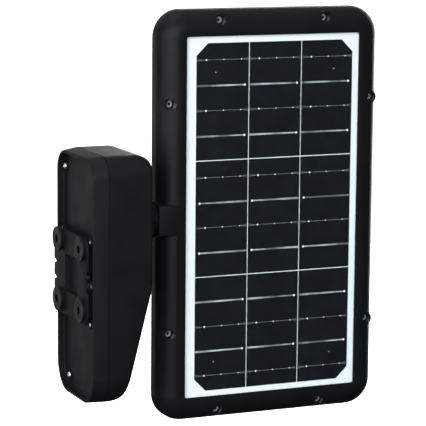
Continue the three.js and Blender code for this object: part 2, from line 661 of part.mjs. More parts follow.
function panelFrame() {
  const lipPlate = alongX(aroundWindow(4, 2), PANEL.frontX, PANEL.frontX + LAMINATE.top - 0.1)
    .subtract(alongX(aroundWindow(0, 1), PANEL.frontX - 1, PANEL.frontX + 3));
  const swept = sweptFrame();
  const envelope = alongX(aroundWindow(FRAME.width, OUTER_CORNER), PANEL.frontX, panelBackX);
  const columnDepth = [PANEL.frontX + 3, screwSeatX + 2];
  const columns = panelScrews.map(([y, z]) => rodX(PANEL_SCREW.column, ...columnDepth, y, z));
  const hub = union([
    box([PANEL.frontX, 0], [HUB.front, HUB.rear], [AXIS_Z - HUB.half, AXIS_Z + HUB.half]),
    rodY(HUB.half, HUB.front, HUB.rear, 0, AXIS_Z, 32),
  ]);
  const laminateSpace = alongX(aroundWindow(LAMINATE.overlap + 0.3, 1), PANEL.frontX + LAMINATE.top - 0.1, 0);
  const pockets = panelScrews.map(([y, z]) => rodX(PANEL_SCREW.pocket, PANEL.frontX - 1, screwSeatX, y, z));
  const holes = panelScrews.map(([y, z]) => rodX(1.8, screwSeatX - 1, screwSeatX + 3, y, z, 10));
  const bore = rodY(HUB.bore, HUB.front - 1, HUB.rear + 1, 0, AXIS_Z, 32);
  const ring = union([swept, lipPlate, ...columns.map((c) => c.intersect(envelope))]);
  return cut(ring.add(hub), [laminateSpace, ...pockets, ...holes, bore]);
}

function panelBack() {
  const grow = FRAME.width - FRAME.wall - 0.3;
  const corner = FRAME.windowCorner + grow;
  const plate = alongX(aroundWindow(grow, corner), panelBackX - WALL, panelBackX);
  const ribs = [];
  const ribFront = PANEL.frontX + LAMINATE.top + LAMINATE.glass + LAMINATE.cell + LAMINATE.backsheet + 0.8;
  const ribDepth = [ribFront, panelBackX - 1];
  for (const share of [-0.25, 0.25]) {
    const y = windowMiddleY + share * PANEL.windowWidth;
    ribs.push(box(ribDepth, [y - 1, y + 1], [windowBottomZ, windowTopZ]));
  }
  for (const share of [-0.4, 0.2, -0.2, 0.4]) {
    const z = AXIS_Z + share * PANEL.windowHeight;
    ribs.push(box(ribDepth, [windowFarY, PANEL.windowY], [z - 1, z + 1]));
  }
  const bosses = panelScrews.map(([y, z]) => rodX(3.8, screwSeatX + 2.3, panelBackX - 1, y, z, 12));
  const holes = panelScrews.map(([y, z]) => rodX(1.75, screwSeatX, panelBackX - WALL, y, z, 10));
  const hubRoom = rodY(HUB.half + 0.5, HUB.front - 0.5, HUB.rear + 5, 0, AXIS_Z, 32);
  return cut(union([plate, ...ribs, ...bosses]), [...holes, hubRoom]);
}

const glassX = PANEL.frontX + LAMINATE.top;
const cellX = glassX + LAMINATE.glass + 0.1;
const backsheetX = cellX + LAMINATE.cell + 0.1;

/** One string: three cells side by side, joined by two ribbons. Only the panel's corner cells are clipped. */
function cellString(row) {
  const pitchZ = (CELLS.height + CELLS.gap) / 3;
  const pitchY = (CELLS.width + CELLS.gap) / 3;
  const nearY = windowMiddleY + CELLS.shiftY + CELLS.width / 2;
  const top = AXIS_Z + CELLS.height / 2 - row * pitchZ;
  const bottom = top - pitchZ + CELLS.gap;
  const pieces = [];
  for (let column = 0; column < 3; column++) {
    const y1 = nearY - column * pitchY;
    const y0 = y1 - pitchY + CELLS.gap;
    pieces.push(box([cellX, cellX + LAMINATE.cell], [y0, y1], [bottom, top]));
  }
  const ribbons = RIBBON.places.map((share) => {
    const z = row < 2 ? top - share * (top - bottom) : bottom + share * (top - bottom);
    return box([cellX + 0.05, cellX + 0.05 + RIBBON.thickness], [nearY - CELLS.width, nearY],
      [z - RIBBON.width / 2, z + RIBBON.width / 2]);
  });
  const whole = union([...pieces, ...ribbons]);
  const half = CELLS.width / 2;
  const clip = CELLS.clip;
  const middle = windowMiddleY + CELLS.shiftY;
  const edge = CELLS.height / 2;
  const outline = filleted([
    [middle - half + clip, AXIS_Z - edge, 0], [middle + half - clip, AXIS_Z - edge, 0],
    [middle + half, AXIS_Z - edge + clip, 0], [middle + half, AXIS_Z + edge - clip, 0],
    [middle + half - clip, AXIS_Z + edge, 0], [middle - half + clip, AXIS_Z + edge, 0],
    [middle - half, AXIS_Z + edge - clip, 0], [middle - half, AXIS_Z - edge + clip, 0],
  ]);
  return whole.intersect(alongX(outline, cellX - 1, cellX + 2));
}

place("panel_frame", panelFrame(), "plastic");
place("panel_back", panelBack(), "darkPlastic");
const sheetOutline = aroundWindow(LAMINATE.overlap, 1);
place("panel_glass", alongX(sheetOutline, glassX, glassX + LAMINATE.glass), "glass");
for (let row = 0; row < 3; row++) place(`cell_string_${row + 1}`, cellString(row), "silicon");
place("panel_backsheet", alongX(sheetOutline, backsheetX, backsheetX + LAMINATE.backsheet), "backsheet");

panelScrews.forEach(([y, z], i) => {
  const head = rodX(3.2, screwSeatX - 2, screwSeatX - 0.1, y, z, 12);
  place(`panel_screw_${i + 1}`, head.add(rodX(1.5, screwSeatX - 0.5, screwSeatX + 12, y, z, 8)), "steel");
});

/** The panel's lead: through the pivot tube, then along the back of the laminate. */
function panelLead() {
  const route = new THREE.CatmullRomCurve3([
    [0, TUBE.rear + 3, AXIS_Z], [0, -70, AXIS_Z], [0, -100, AXIS_Z], [0, -112, AXIS_Z],
    [-2, -124, AXIS_Z - 2], [-6, -136, AXIS_Z - 6], [-7.5, -150, AXIS_Z - 8],
  ].map(([x, y, z]) => new THREE.Vector3(x, y, z)));
  const section = new THREE.Shape().absarc(0, 0, 2.5, 0, Math.PI * 2);
  const options = { extrudePath: route, steps: 16, curveSegments: 4, bevelEnabled: false };
  return solid(new THREE.ExtrudeGeometry(section, options));
}

place("panel_lead", panelLead(), "lead");

export default camera;
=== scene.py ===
"""A solar-powered wall camera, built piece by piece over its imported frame."""
import math

import bmesh
import bpy
from bpy.props import FloatProperty, FloatVectorProperty, IntProperty, PointerProperty
from mathutils import Matrix, Vector


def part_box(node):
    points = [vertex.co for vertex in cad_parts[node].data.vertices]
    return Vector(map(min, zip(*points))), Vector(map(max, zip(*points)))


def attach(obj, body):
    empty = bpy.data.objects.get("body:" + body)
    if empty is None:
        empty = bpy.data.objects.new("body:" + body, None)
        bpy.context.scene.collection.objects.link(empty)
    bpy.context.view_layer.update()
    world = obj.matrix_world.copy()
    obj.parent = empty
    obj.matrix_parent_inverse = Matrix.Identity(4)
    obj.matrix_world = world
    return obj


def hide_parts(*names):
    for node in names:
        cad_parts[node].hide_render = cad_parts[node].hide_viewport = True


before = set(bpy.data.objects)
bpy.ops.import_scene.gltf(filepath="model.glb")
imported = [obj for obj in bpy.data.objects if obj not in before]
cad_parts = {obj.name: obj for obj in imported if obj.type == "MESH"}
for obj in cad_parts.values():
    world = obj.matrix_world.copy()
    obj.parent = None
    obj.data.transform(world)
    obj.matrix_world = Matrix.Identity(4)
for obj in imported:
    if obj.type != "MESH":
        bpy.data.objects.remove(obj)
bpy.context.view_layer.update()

bl_info = {
    "name": "Solar Wall Camera",
    "version": (1, 0, 0),
    "blender": (4, 5, 0),
    "location": "3D View > Sidebar > Solar Camera",
    "description": "Builds a solar-powered wall camera piece by piece on its packed frame",
    "category": "Add Mesh",
}

MM = 0.001


# ---------------------------------------------------------------- places taken from the frame
# Shapes are drawn in millimetres, and piece() turns them into metres.

def node_box(*names):
    """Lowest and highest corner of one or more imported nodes."""
    boxes = [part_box(name) for name in names]
    low = Vector([min(box[0][i] for box in boxes) for i in range(3)])
    high = Vector([max(box[1][i] for box in boxes) for i in range(3)])
    return low / MM, high / MM


def middle_of(name):
    """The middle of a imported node's box."""
    low, high = node_box(name)
    return (low + high) / 2


GLASS_LOW, GLASS_HIGH = node_box("panel_glass")
GLASS_OVERLAP = 3  # how far the glass reaches under the frame's lip
WINDOW_Y = (GLASS_LOW.y + GLASS_OVERLAP, GLASS_HIGH.y - GLASS_OVERLAP)
WINDOW_Z = (GLASS_LOW.z + GLASS_OVERLAP, GLASS_HIGH.z - GLASS_OVERLAP)
FRAME_LOW, FRAME_HIGH = node_box("panel_frame")
FRAME_WIDTH = WINDOW_Y[0] - FRAME_LOW.y
PANEL_FRONT = FRAME_LOW.x
PANEL_REAR = node_box("panel_back")[1].x
COLLAR_LOW, COLLAR_HIGH = node_box("swivel_collar")
AXIS_Z = (COLLAR_LOW.z + COLLAR_HIGH.z) / 2
NECK_LOW, NECK_HIGH = node_box("neck_ring")
NECK_GAP = 0.25
HUB_REAR = NECK_LOW.y - NECK_GAP
HUB_FRONT = -108.25
HUB_FLARE = 3.2  # how much the hub widens above and below, from its face to its middle
HUB_HALF = FRAME_HIGH.x  # half the height of the hub's face, and how far its back stands from the axis
REAR_LOW, REAR_HIGH = node_box("rear_cover")
SHELL_LOW, SHELL_HIGH = node_box("front_shell")
SEAT_LOW, SEAT_HIGH = node_box("mount_seat")
PLATE_LOW, PLATE_HIGH = node_box("bracket_plate")
RECESS_FLOOR = -13.5
BORE = 10.55  # radius of the way through the swivel for the pivot tube
BREAK_Z = -10  # where the upright front starts to lean back
BREAK_RADIUS = 60
WINDOW_CENTRE_Z = -53
SHELL_WALL = 2.5


# ---------------------------------------------------------------- settings

LENGTH = {"min": 0, "unit": "LENGTH", "subtype": "DISTANCE"}


class SolarCameraHousing(bpy.types.PropertyGroup):
    """Sizes of the camera's housing."""

    top_radius: FloatProperty(
        name="Top Corners", description="Radius of the housing's two upper corners",
        default=19 * MM, **LENGTH)
    bottom_radius: FloatProperty(
        name="Bottom Corners", description="Radius of the housing's two lower corners",
        default=28 * MM, **LENGTH)
    brow_radius: FloatProperty(
        name="Brow", description="Radius where the top turns down into the front",
        default=11 * MM, **LENGTH)
    toe_radius: FloatProperty(
        name="Toe", description="Radius where the sloping front turns under",
        default=14 * MM, **LENGTH)
    slope: FloatProperty(
        name="Slope", description="How far the lower front leans back",
        default=math.radians(14.2), unit="ROTATION", subtype="ANGLE")
    rim: FloatProperty(
        name="Rear Rim", description="Width of the rim round the rear recess",
        default=3 * MM, **LENGTH)
    taper: FloatProperty(
        name="Rear Taper", description="How much narrower the rear cover is at its rim than at the seam",
        default=1.25 * MM, **LENGTH)
    edge: FloatProperty(
        name="Edge Softness", description="Width of the rounding on moulded edges",
        default=0.9 * MM, **LENGTH)


class SolarCameraPanel(bpy.types.PropertyGroup):
    """Sizes of the solar panel."""

    lip: FloatProperty(
        name="Lip", description="Flat width of the frame next to the glass",
        default=5.5 * MM, **LENGTH)
    roll: FloatProperty(
        name="Roll", description="Radius of the frame's rounded outer edge",
        default=19 * MM, **LENGTH)
    window_corner: FloatProperty(
        name="Window Corner", description="Radius of the frame's inner corners",
        default=2 * MM, **LENGTH)
    screw_pocket: FloatProperty(
        name="Screw Pocket", description="Radius of the deep pockets over the frame's screws",
        default=4.3 * MM, **LENGTH)
    clip: FloatProperty(
        name="Cell Clip", description="How much is cut off the array's four corners",
        default=11.5 * MM, **LENGTH)
    finger_pitch: FloatProperty(
        name="Finger Pitch", description="Distance between the fine silver fingers printed on a cell",
        default=1.75 * MM, min=0.2 * MM, unit="LENGTH", subtype="DISTANCE")
    solder_points: IntProperty(
        name="Solder Points", description="Number of solder points on each thin conductor of a cell",
        default=3, min=1, max=9)


class SolarCameraFinishes(bpy.types.PropertyGroup):
    """Colours of the camera's finishes."""

    plastic: FloatVectorProperty(
        name="Plastic", description="Colour of the moulded housing, frame and bracket",
        default=(0.0042, 0.0045, 0.0048), size=3, min=0, max=1, subtype="COLOR")
    inner_plastic: FloatVectorProperty(
        name="Inner Plastic", description="Colour of the darker plastic pieces",
        default=(0.003, 0.003, 0.0032), size=3, min=0, max=1, subtype="COLOR")
    silicon: FloatVectorProperty(
        name="Silicon", description="Colour of the solar cells",
        default=(0.0036, 0.0048, 0.0064), size=3, min=0, max=1, subtype="COLOR")
    backsheet: FloatVectorProperty(
        name="Backsheet", description="Colour of the sheet behind the cells",
        default=(0.93, 0.96, 0.97), size=3, min=0, max=1, subtype="COLOR")
    metal: FloatVectorProperty(
        name="Screws", description="Colour of the bright plated screws",
        default=(0.90, 0.90, 0.91), size=3, min=0, max=1, subtype="COLOR")


def housing_settings():
    return bpy.context.scene.solar_camera_housing


def panel_settings():
    return bpy.context.scene.solar_camera_panel


def finishes():
    return bpy.context.scene.solar_camera_finishes


# ---------------------------------------------------------------- outlines and surfaces

def filleted(corners, steps=10):
    """A closed outline through corners (a, b, radius), each corner rounded with an arc."""
    points = []
    count = len(corners)
    for i, (a, b, radius) in enumerate(corners):
        here = Vector((a, b))
        if radius <= 0:
            points.append((a, b))
            continue
        before = (Vector(corners[i - 1][:2]) - here).normalized()
        after = (Vector(corners[(i + 1) % count][:2]) - here).normalized()
        half = before.angle(after) / 2
        centre = here + (before + after).normalized() * (radius / math.sin(half))
        start = here + before * (radius / math.tan(half)) - centre
        end = here + after * (radius / math.tan(half)) - centre
        first = math.atan2(start.y, start.x)
        sweep = math.atan2(end.y, end.x) - first
        sweep = (sweep + math.pi) % math.tau - math.pi
        for k in range(steps + 1):
            angle = first + sweep * k / steps
            points.append((centre.x + radius * math.cos(angle), centre.y + radius * math.sin(angle)))
    return points


def rectangle(a, b, radius, steps=8):
    """A rectangle over the ranges a and b with rounded corners."""
    return filleted([(a[0], b[0], radius), (a[1], b[0], radius),
                     (a[1], b[1], radius), (a[0], b[1], radius)], steps)


def circle(a, b, radius, steps=32):
    """A round outline about (a, b)."""
    turns = [math.tau * k / steps for k in range(steps)]
    return [(a + radius * math.cos(t), b + radius * math.sin(t)) for t in turns]


def across_y(outline, y):
    """An (x, z) outline as points at one y."""
    return [(a, y, b) for a, b in outline]


def across_x(outline, x):
    """A (y, z) outline as points at one x."""
    return [(x, a, b) for a, b in outline]


def skin(rings, loop=False, form=None, front=True):
    """A surface through rings of points, closed on itself as a loop or capped at its ends.

    Without front, the last ring is left open.
    """
    form = form or bmesh.new()
    rows = [[form.verts.new(point) for point in ring] for ring in rings]
    following = rows[1:] + rows[:1] if loop else rows[1:]
    made = []
    for near, far in zip(rows, following):
        for i in range(len(near)):
            j = (i + 1) % len(near)
            made.append(form.faces.new((near[i], near[j], far[j], far[i])))
    if not loop:
        made.append(form.faces.new(rows[0]))
    if not loop and front:
        made.append(form.faces.new(rows[-1]))
    bmesh.ops.recalc_face_normals(form, faces=made)
    return form


def turned(profile, centre, axis="Y", steps=32, form=None):
    """A solid of revolution: profile is (radius, distance along the axis) from one end to the other."""
    rings = []
    for radius, along in profile:
        ring = []
        for k in range(steps):
            turn = math.tau * k / steps
            a, b = radius * math.cos(turn), radius * math.sin(turn)
            offset = {"X": (along, a, b), "Y": (a, along, b), "Z": (a, b, along)}[axis]
            ring.append(Vector(centre) + Vector(offset))
        rings.append(ring)
    return skin(rings, form=form)


def ring_turned(section, centre, steps=48, form=None):
    """A ring about Y: section is a closed list of (radius, y) points."""
    rings = []
    for k in range(steps):
        turn = math.tau * k / steps
        rings.append([Vector((centre[0] + radius * math.cos(turn), y, centre[1] + radius * math.sin(turn)))
                      for radius, y in section])
    return skin(rings, loop=True, form=form)


def prism_y(outline, low, high, form=None):
    """An (x, z) outline made solid between two values of y."""
    return skin([across_y(outline, low), across_y(outline, high)], form=form)


def prism_x(outline, low, high, form=None):
    """A (y, z) outline made solid between two values of x."""
    return skin([across_x(outline, low), across_x(outline, high)], form=form)


def dome(radius, base, height):
    """The profile of a low dome that rises towards -Y from a base."""
    turns = (0.2, 0.5, 0.8, 1.1, 1.4, 1.53)
    return [(radius, base)] + [(radius * math.cos(t), base - height * math.sin(t)) for t in turns]


def block(low, high, form=None):
    """A box between two corners."""
    outline = [(low[0], low[2]), (high[0], low[2]), (high[0], high[2]), (low[0], high[2])]
    return prism_y(outline, low[1], high[1], form)


# ---------------------------------------------------------------- making and finishing pieces

SHARP_CORNER, SHARP_SHADING = math.radians(28), math.radians(32)


def piece(name, form, *materials):
    """A new object from a bmesh."""
    form.transform(Matrix.Scale(MM, 4))
    mesh = bpy.data.meshes.new(name)
    form.to_mesh(mesh)
    form.free()
    for material in materials:
        mesh.materials.append(material)
    made = bpy.data.objects.new(name, mesh)
    bpy.context.scene.collection.objects.link(made)
    return made


def applied(made):
    """Bakes an object's modifiers into its mesh."""
    graph = bpy.context.evaluated_depsgraph_get()
    old = made.data
    made.data = bpy.data.meshes.new_from_object(made.evaluated_get(graph), depsgraph=graph)
    made.data.name = made.name
    made.modifiers.clear()
    bpy.data.meshes.remove(old)


def combine(made, tool, operation="DIFFERENCE"):
    """Cuts a bmesh tool out of an object, or adds it."""
    cutter = piece("tool", tool)
    change = made.modifiers.new("combine", "BOOLEAN")
    change.operation = operation
    change.solver = "EXACT"
    change.object = cutter
    bpy.context.view_layer.update()
    applied(made)
    if not made.data.polygons:
        raise RuntimeError(f"{made.name} vanished in a {operation.lower()}")
    bpy.data.objects.remove(cutter)


def soften(form, width, steps=3, where=None):
    """Rounds a form's sharp edges, or only those whose middle passes a test."""
    sharp = [edge for edge in form.edges
             if len(edge.link_faces) == 2 and edge.calc_face_angle(0) > SHARP_CORNER
             and (where is None or where((edge.verts[0].co + edge.verts[1].co) / 2))]
    bmesh.ops.bevel(form, geom=sharp, offset=width, segments=steps, profile=0.5,
                    affect="EDGES", clamp_overlap=True)


def smooth(made):
    """Shades an object smooth except across sharp edges."""
    made.data.polygons.foreach_set("use_smooth", [True] * len(made.data.polygons))
    made.data.set_sharp_from_angle(angle=SHARP_SHADING)
    return made


def settle(made, body, slot, *nodes):
    """Finishes a piece: shading, the body it rides on and the nodes it stands for; the slot is not used."""
    smooth(made)
    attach(made, body)
    if nodes:
        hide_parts(*nodes)


# ---------------------------------------------------------------- materials

class Finish:
    """A node material with a few short ways to add detail to its shader."""

    def __init__(self, name, colour, roughness, metallic=0.0):
        self.material = bpy.data.materials.new(name)
        self.material.use_nodes = True
        self.nodes = self.material.node_tree.nodes
        self.links = self.material.node_tree.links
        self.shader = self.nodes["Principled BSDF"]
        self.shader.inputs["Base Color"].default_value = (*colour, 1)
        self.shader.inputs["Roughness"].default_value = roughness
        self.shader.inputs["Metallic"].default_value = metallic
        self.material.diffuse_color = (*colour, 1)
        self.place = self.nodes.new("ShaderNodeTexCoord").outputs["Object"]

    def noise(self, scale, detail=2.0, stretch=None):
        """A noise pattern; scale is in cycles per metre."""
        node = self.nodes.new("ShaderNodeTexNoise")
        node.inputs["Scale"].default_value = scale
        node.inputs["Detail"].default_value = detail
        source = self.place
        if stretch:
            mapping = self.nodes.new("ShaderNodeMapping")
            mapping.inputs["Scale"].default_value = stretch
            self.links.new(source, mapping.inputs["Vector"])
            source = mapping.outputs["Vector"]
        self.links.new(source, node.inputs["Vector"])
        return node.outputs["Fac"]

    def blend(self, pattern, dark, light, low=0.3, high=0.7):
        """A colour ramp over a pattern."""
        ramp = self.nodes.new("ShaderNodeValToRGB")
        ramp.color_ramp.elements[0].position = low
        ramp.color_ramp.elements[0].color = (*dark, 1)
        ramp.color_ramp.elements[1].position = high
        ramp.color_ramp.elements[1].color = (*light, 1)
        self.links.new(pattern, ramp.inputs["Fac"])
        return ramp.outputs["Color"]

    def span(self, pattern, low, high):
        """A pattern remapped to a range of values."""
        node = self.nodes.new("ShaderNodeMapRange")
        node.inputs["From Min"].default_value = 0.3
        node.inputs["From Max"].default_value = 0.7
        node.inputs["To Min"].default_value = low
        node.inputs["To Max"].default_value = high
        self.links.new(pattern, node.inputs["Value"])
        return node.outputs["Result"]

    def maths(self, operation, first, second=None):
        """A number worked out from patterns or values."""
        node = self.nodes.new("ShaderNodeMath")
        node.operation = operation
        for socket, value in zip(node.inputs, (first, second)):
            if value is None:
                continue
            if isinstance(value, (int, float)):
                socket.default_value = value
            else:
                self.links.new(value, socket)
        return node.outputs["Value"]

    def bump(self, height, strength, distance):
        """Relief on the surface from a height pattern; distance is in metres."""
        node = self.nodes.new("ShaderNodeBump")
        node.inputs["Strength"].default_value = strength
        node.inputs["Distance"].default_value = distance
        self.links.new(height, node.inputs["Height"])
        self.links.new(node.outputs["Normal"], self.shader.inputs["Normal"])

    def feed(self, socket, output):
        self.links.new(output, self.shader.inputs[socket])

    def put(self, socket, value):
        self.shader.inputs[socket].default_value = value

    def uneven(self, low, high, *pattern):
        """Roughness that wanders between two values over a noise pattern."""
        self.feed("Roughness", self.span(self.noise(*pattern), low, high))

    def grain(self, strength, distance, *pattern):
        """Relief from a noise pattern."""
        self.bump(self.noise(*pattern), strength, distance)

    def along(self, axis):
        """The place along one axis, in metres."""
        node = self.nodes.new("ShaderNodeSeparateXYZ")
        self.links.new(self.place, node.inputs["Vector"])
        return node.outputs[axis]


MATERIALS = {}


def made_once(maker):
    """Keeps one copy of each material."""
    def fetch():
        if maker.__name__ not in MATERIALS:
            MATERIALS[maker.__name__] = maker()
        return MATERIALS[maker.__name__]
    return fetch


def scaled(colour, factor):
    return tuple(min(1.0, channel * factor) for channel in colour)


def moulded(name, colour, roughness, grain=0.35, specular=0.1):
    """Spark-textured moulded plastic: a fine grain, faint flow clouds and slightly uneven gloss."""
    finish = Finish(name, colour, roughness)
    clouds = finish.noise(28, 3)
    finish.feed("Base Color", finish.blend(clouds, scaled(colour, 0.86), scaled(colour, 1.16)))
    finish.uneven(roughness - 0.04, roughness + 0.05, 55, 2)
    finish.grain(grain, 0.05 * MM, 2600, 2)
    finish.put("Specular IOR Level", specular)
    return finish.material


@made_once
def housing_plastic():
    return moulded("housing_plastic", finishes().plastic, 0.5)


@made_once
def frame_plastic():
    return moulded("frame_plastic", finishes().plastic, 0.42, grain=0.2)


@made_once
def bracket_plastic():
    return moulded("bracket_plastic", scaled(finishes().plastic, 1.1), 0.55, grain=0.5)


@made_once
def inner_plastic():
    return moulded("inner_plastic", finishes().inner_plastic, 0.6, grain=0.5)


@made_once
def black_rubber():
    finish = Finish("black_rubber", scaled(finishes().inner_plastic, 1.2), 0.5)
    finish.uneven(0.42, 0.6, 120, 3)
    finish.grain(0.4, 0.08 * MM, 1400, 3)
    finish.put("Specular IOR Level", 0.2)
    return finish.material


# Near-black, nearly matt finish for the sleeves in the wall holes: painted shade, so the holes read as deep
# and dark.
@made_once
def painted_hole_shade():
    finish = Finish("painted_hole_shade", (0.0006, 0.0006, 0.0006), 0.9)
    finish.uneven(0.85, 0.95, 300, 2)
    finish.grain(0.2, 0.05 * MM, 1200, 2)
    finish.put("Specular IOR Level", 0.02)
    return finish.material


@made_once
def polished_black():
    finish = Finish("polished_black", (0.0015, 0.0015, 0.0018), 0.06)
    finish.uneven(0.04, 0.10, 40, 3)
    finish.put("Coat Weight", 0.6)
    finish.put("Coat Roughness", 0.03)
    return finish.material


@made_once
def plated_steel():
    colour = finishes().metal
    finish = Finish("plated_steel", colour, 0.28, metallic=1.0)
    finish.feed("Base Color", finish.blend(finish.noise(300, 2), scaled(colour, 0.93), colour))
    finish.uneven(0.22, 0.38, 900, 2)
    finish.grain(0.15, 0.02 * MM, 3000, 2)
    return finish.material


@made_once
def turned_steel():
    finish = Finish("turned_steel", (0.50, 0.51, 0.53), 0.32, metallic=1.0)
    finish.uneven(0.25, 0.42, 400, 2, (1, 12, 1))
    finish.grain(0.25, 0.03 * MM, 1500, 2, (1, 14, 1))
    return finish.material


@made_once
def cell_silicon():
    """Near-black blue silicon with faint printed fingers and a soft wafer grain."""
    colour = finishes().silicon
    finish = Finish("cell_silicon", colour, 0.38)
    grain = finish.blend(finish.noise(45, 4), scaled(colour, 0.75), scaled(colour, 1.3))
    pitch = panel_settings().finger_pitch
    wave = finish.maths("FRACT", finish.maths("DIVIDE", finish.along("Y"), pitch))
    near = finish.maths("ABSOLUTE", finish.maths("SUBTRACT", wave, 0.5))
    finger = finish.maths("LESS_THAN", near, 0.06)
    faint = finish.maths("MULTIPLY", finger, finish.span(finish.noise(220, 2), 0.015, 0.07))
    mix = finish.nodes.new("ShaderNodeMix")
    mix.data_type = "RGBA"
    mix.inputs[7].default_value = (0.30, 0.33, 0.36, 1)
    finish.links.new(faint, mix.inputs[0])
    finish.links.new(grain, mix.inputs[6])
    finish.feed("Base Color", mix.outputs[2])
    finish.uneven(0.32, 0.45, 90, 3)
    finish.put("Specular IOR Level", 0.15)
    return finish.material


@made_once
def solder_ribbon():
    """Tinned ribbon: bright, with the uneven wetting of hand soldering."""
    finish = Finish("solder_ribbon", (0.30, 0.31, 0.32), 0.4)
    patches = finish.noise(45, 3, (1, 1, 0.3))
    finish.feed("Base Color", finish.blend(patches, (0.11, 0.12, 0.13), (0.52, 0.54, 0.56), 0.38, 0.66))
    finish.feed("Roughness", finish.span(patches, 0.35, 0.55))
    finish.grain(0.3, 0.05 * MM, 700, 2)
    return finish.material


@made_once
def solder_point():
    finish = Finish("solder_point", (0.92, 0.93, 0.94), 0.3)
    finish.uneven(0.25, 0.42, 900, 2)
    finish.grain(0.2, 0.04 * MM, 1200, 2)
    return finish.material


@made_once
def thin_conductor():
    finish = Finish("thin_conductor", (0.20, 0.22, 0.24), 0.45)
    finish.feed("Base Color", finish.blend(finish.noise(160, 2), (0.14, 0.16, 0.17), (0.27, 0.29, 0.31)))
    finish.grain(0.2, 0.03 * MM, 900, 2)
    return finish.material


@made_once
def white_backsheet():
    colour = finishes().backsheet
    finish = Finish("white_backsheet", colour, 0.5)
    finish.feed("Base Color", finish.blend(finish.noise(60, 3), scaled(colour, 0.985), colour))
    finish.grain(0.15, 0.03 * MM, 900, 2)
    return finish.material


@made_once
def panel_glazing():
    """Clear low-iron glass, nearly invisible face on."""
    finish = Finish("panel_glazing", (0.01, 0.014, 0.016), 0.12)
    finish.uneven(0.10, 0.15, 30, 2)
    finish.put("Alpha", 0.06)
    finish.put("IOR", 1.5)
    return finish.material


@made_once
def lens_glazing():
    finish = Finish("lens_glazing", (0.02, 0.02, 0.035), 0.03)
    finish.uneven(0.015, 0.04, 60, 2)
    finish.put("Alpha", 0.35)
    finish.put("Coat Weight", 1.0)
    finish.put("Coat Roughness", 0.02)
    finish.put("Coat Tint", (0.75, 0.70, 1.0, 1))
    return finish.material


@made_once
def frosted_cover():
    finish = Finish("frosted_cover", (0.74, 0.75, 0.74), 0.45)
    finish.feed("Base Color", finish.blend(finish.noise(150, 2), (0.68, 0.69, 0.68), (0.80, 0.81, 0.80)))
    finish.grain(0.2, 0.03 * MM, 1800, 2)
    finish.put("Subsurface Weight", 0.15)
    finish.put("Subsurface Radius", (0.003, 0.003, 0.003))
    finish.put("Subsurface Scale", 1.0)
    return finish.material


@made_once
def circuit_board():
    """Green solder mask over a faint grid of tracks."""
    finish = Finish("circuit_board", (0.01, 0.09, 0.035), 0.35)
    cells = finish.nodes.new("ShaderNodeTexBrick")
    cells.inputs["Scale"].default_value = 160
    cells.inputs["Color1"].default_value = (0.008, 0.085, 0.030, 1)
    cells.inputs["Color2"].default_value = (0.012, 0.110, 0.042, 1)
    cells.inputs["Mortar"].default_value = (0.05, 0.20, 0.08, 1)
    cells.inputs["Mortar Size"].default_value = 0.012
    finish.links.new(finish.place, cells.inputs["Vector"])
    finish.feed("Base Color", cells.outputs["Color"])
    finish.grain(0.2, 0.05 * MM, 500, 2)
    return finish.material


@made_once
def battery_sleeve():
    finish = Finish("battery_sleeve", (0.03, 0.12, 0.40), 0.3)
    finish.feed("Base Color", finish.blend(finish.noise(40, 2), (0.026, 0.105, 0.36), (0.036, 0.14, 0.45)))
    finish.grain(0.2, 0.06 * MM, 250, 2, (1, 1, 0.2))
    return finish.material


@made_once
def lead_sheath():
    finish = Finish("lead_sheath", (0.008, 0.008, 0.008), 0.55)
    finish.uneven(0.48, 0.64, 200, 2)
    finish.grain(0.25, 0.05 * MM, 900, 2)
    return finish.material


@made_once
def studio_paper():
    finish = Finish("studio_paper", (0.92, 0.92, 0.92), 0.9)
    finish.feed("Base Color", finish.blend(finish.noise(3, 2), (0.915, 0.915, 0.915), (0.925, 0.925, 0.925)))
    finish.put("Emission Color", (1, 1, 1, 1))
    finish.put("Emission Strength", 1.0)
    return finish.material


def dress(material, *nodes):
    """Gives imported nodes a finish."""
    for name in nodes:
        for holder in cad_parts[name].material_slots:
            holder.material = material


# ---------------------------------------------------------------- the housing's outlines

def housing_outline(share, inset=0.0, steps=9):
    """The housing's outline in (x, z), from its seam at share 0 to its rear rim at share 1."""
    housing = housing_settings()
    narrower = housing.taper / MM * share
    half = SHELL_HIGH.x - narrower - inset
    top = SHELL_HIGH.z - 1.6 * narrower - inset
    bottom = SHELL_LOW.z + 0.4 * narrower + inset
    upper = housing.top_radius / MM + 0.8 * narrower - inset
    lower = housing.bottom_radius / MM - 0.8 * narrower - inset
    return filleted([(-half, bottom, lower), (half, bottom, lower), (half, top, upper), (-half, top, upper)],
                    steps)


def front_line(inset=0.0):
    """The housing's front in (y, z) from the brow down to the toe, drawn in by an inset."""
    housing = housing_settings()
    front, top, bottom = SHELL_LOW.y + inset, SHELL_HIGH.z - inset, SHELL_LOW.z + inset
    break_z = BREAK_Z + inset * math.tan(housing.slope / 2)
    toe = front + (break_z - bottom) * math.tan(housing.slope)
    return filleted([
        (0, bottom, 0), (0, top, 0), (front, top, housing.brow_radius / MM - inset),
        (front, break_z, BREAK_RADIUS), (toe, bottom, housing.toe_radius / MM - inset)], 20)[2:]


def front_at(line, z):
    """How far forward the front line is at a height."""
    if z >= line[0][1]:
        return line[0][0]
    for (y0, z0), (y1, z1) in zip(line, line[1:]):
        if z1 <= z <= z0 and z0 > z1:
            return y0 + (y1 - y0) * (z0 - z) / (z0 - z1)
    return line[-1][0]


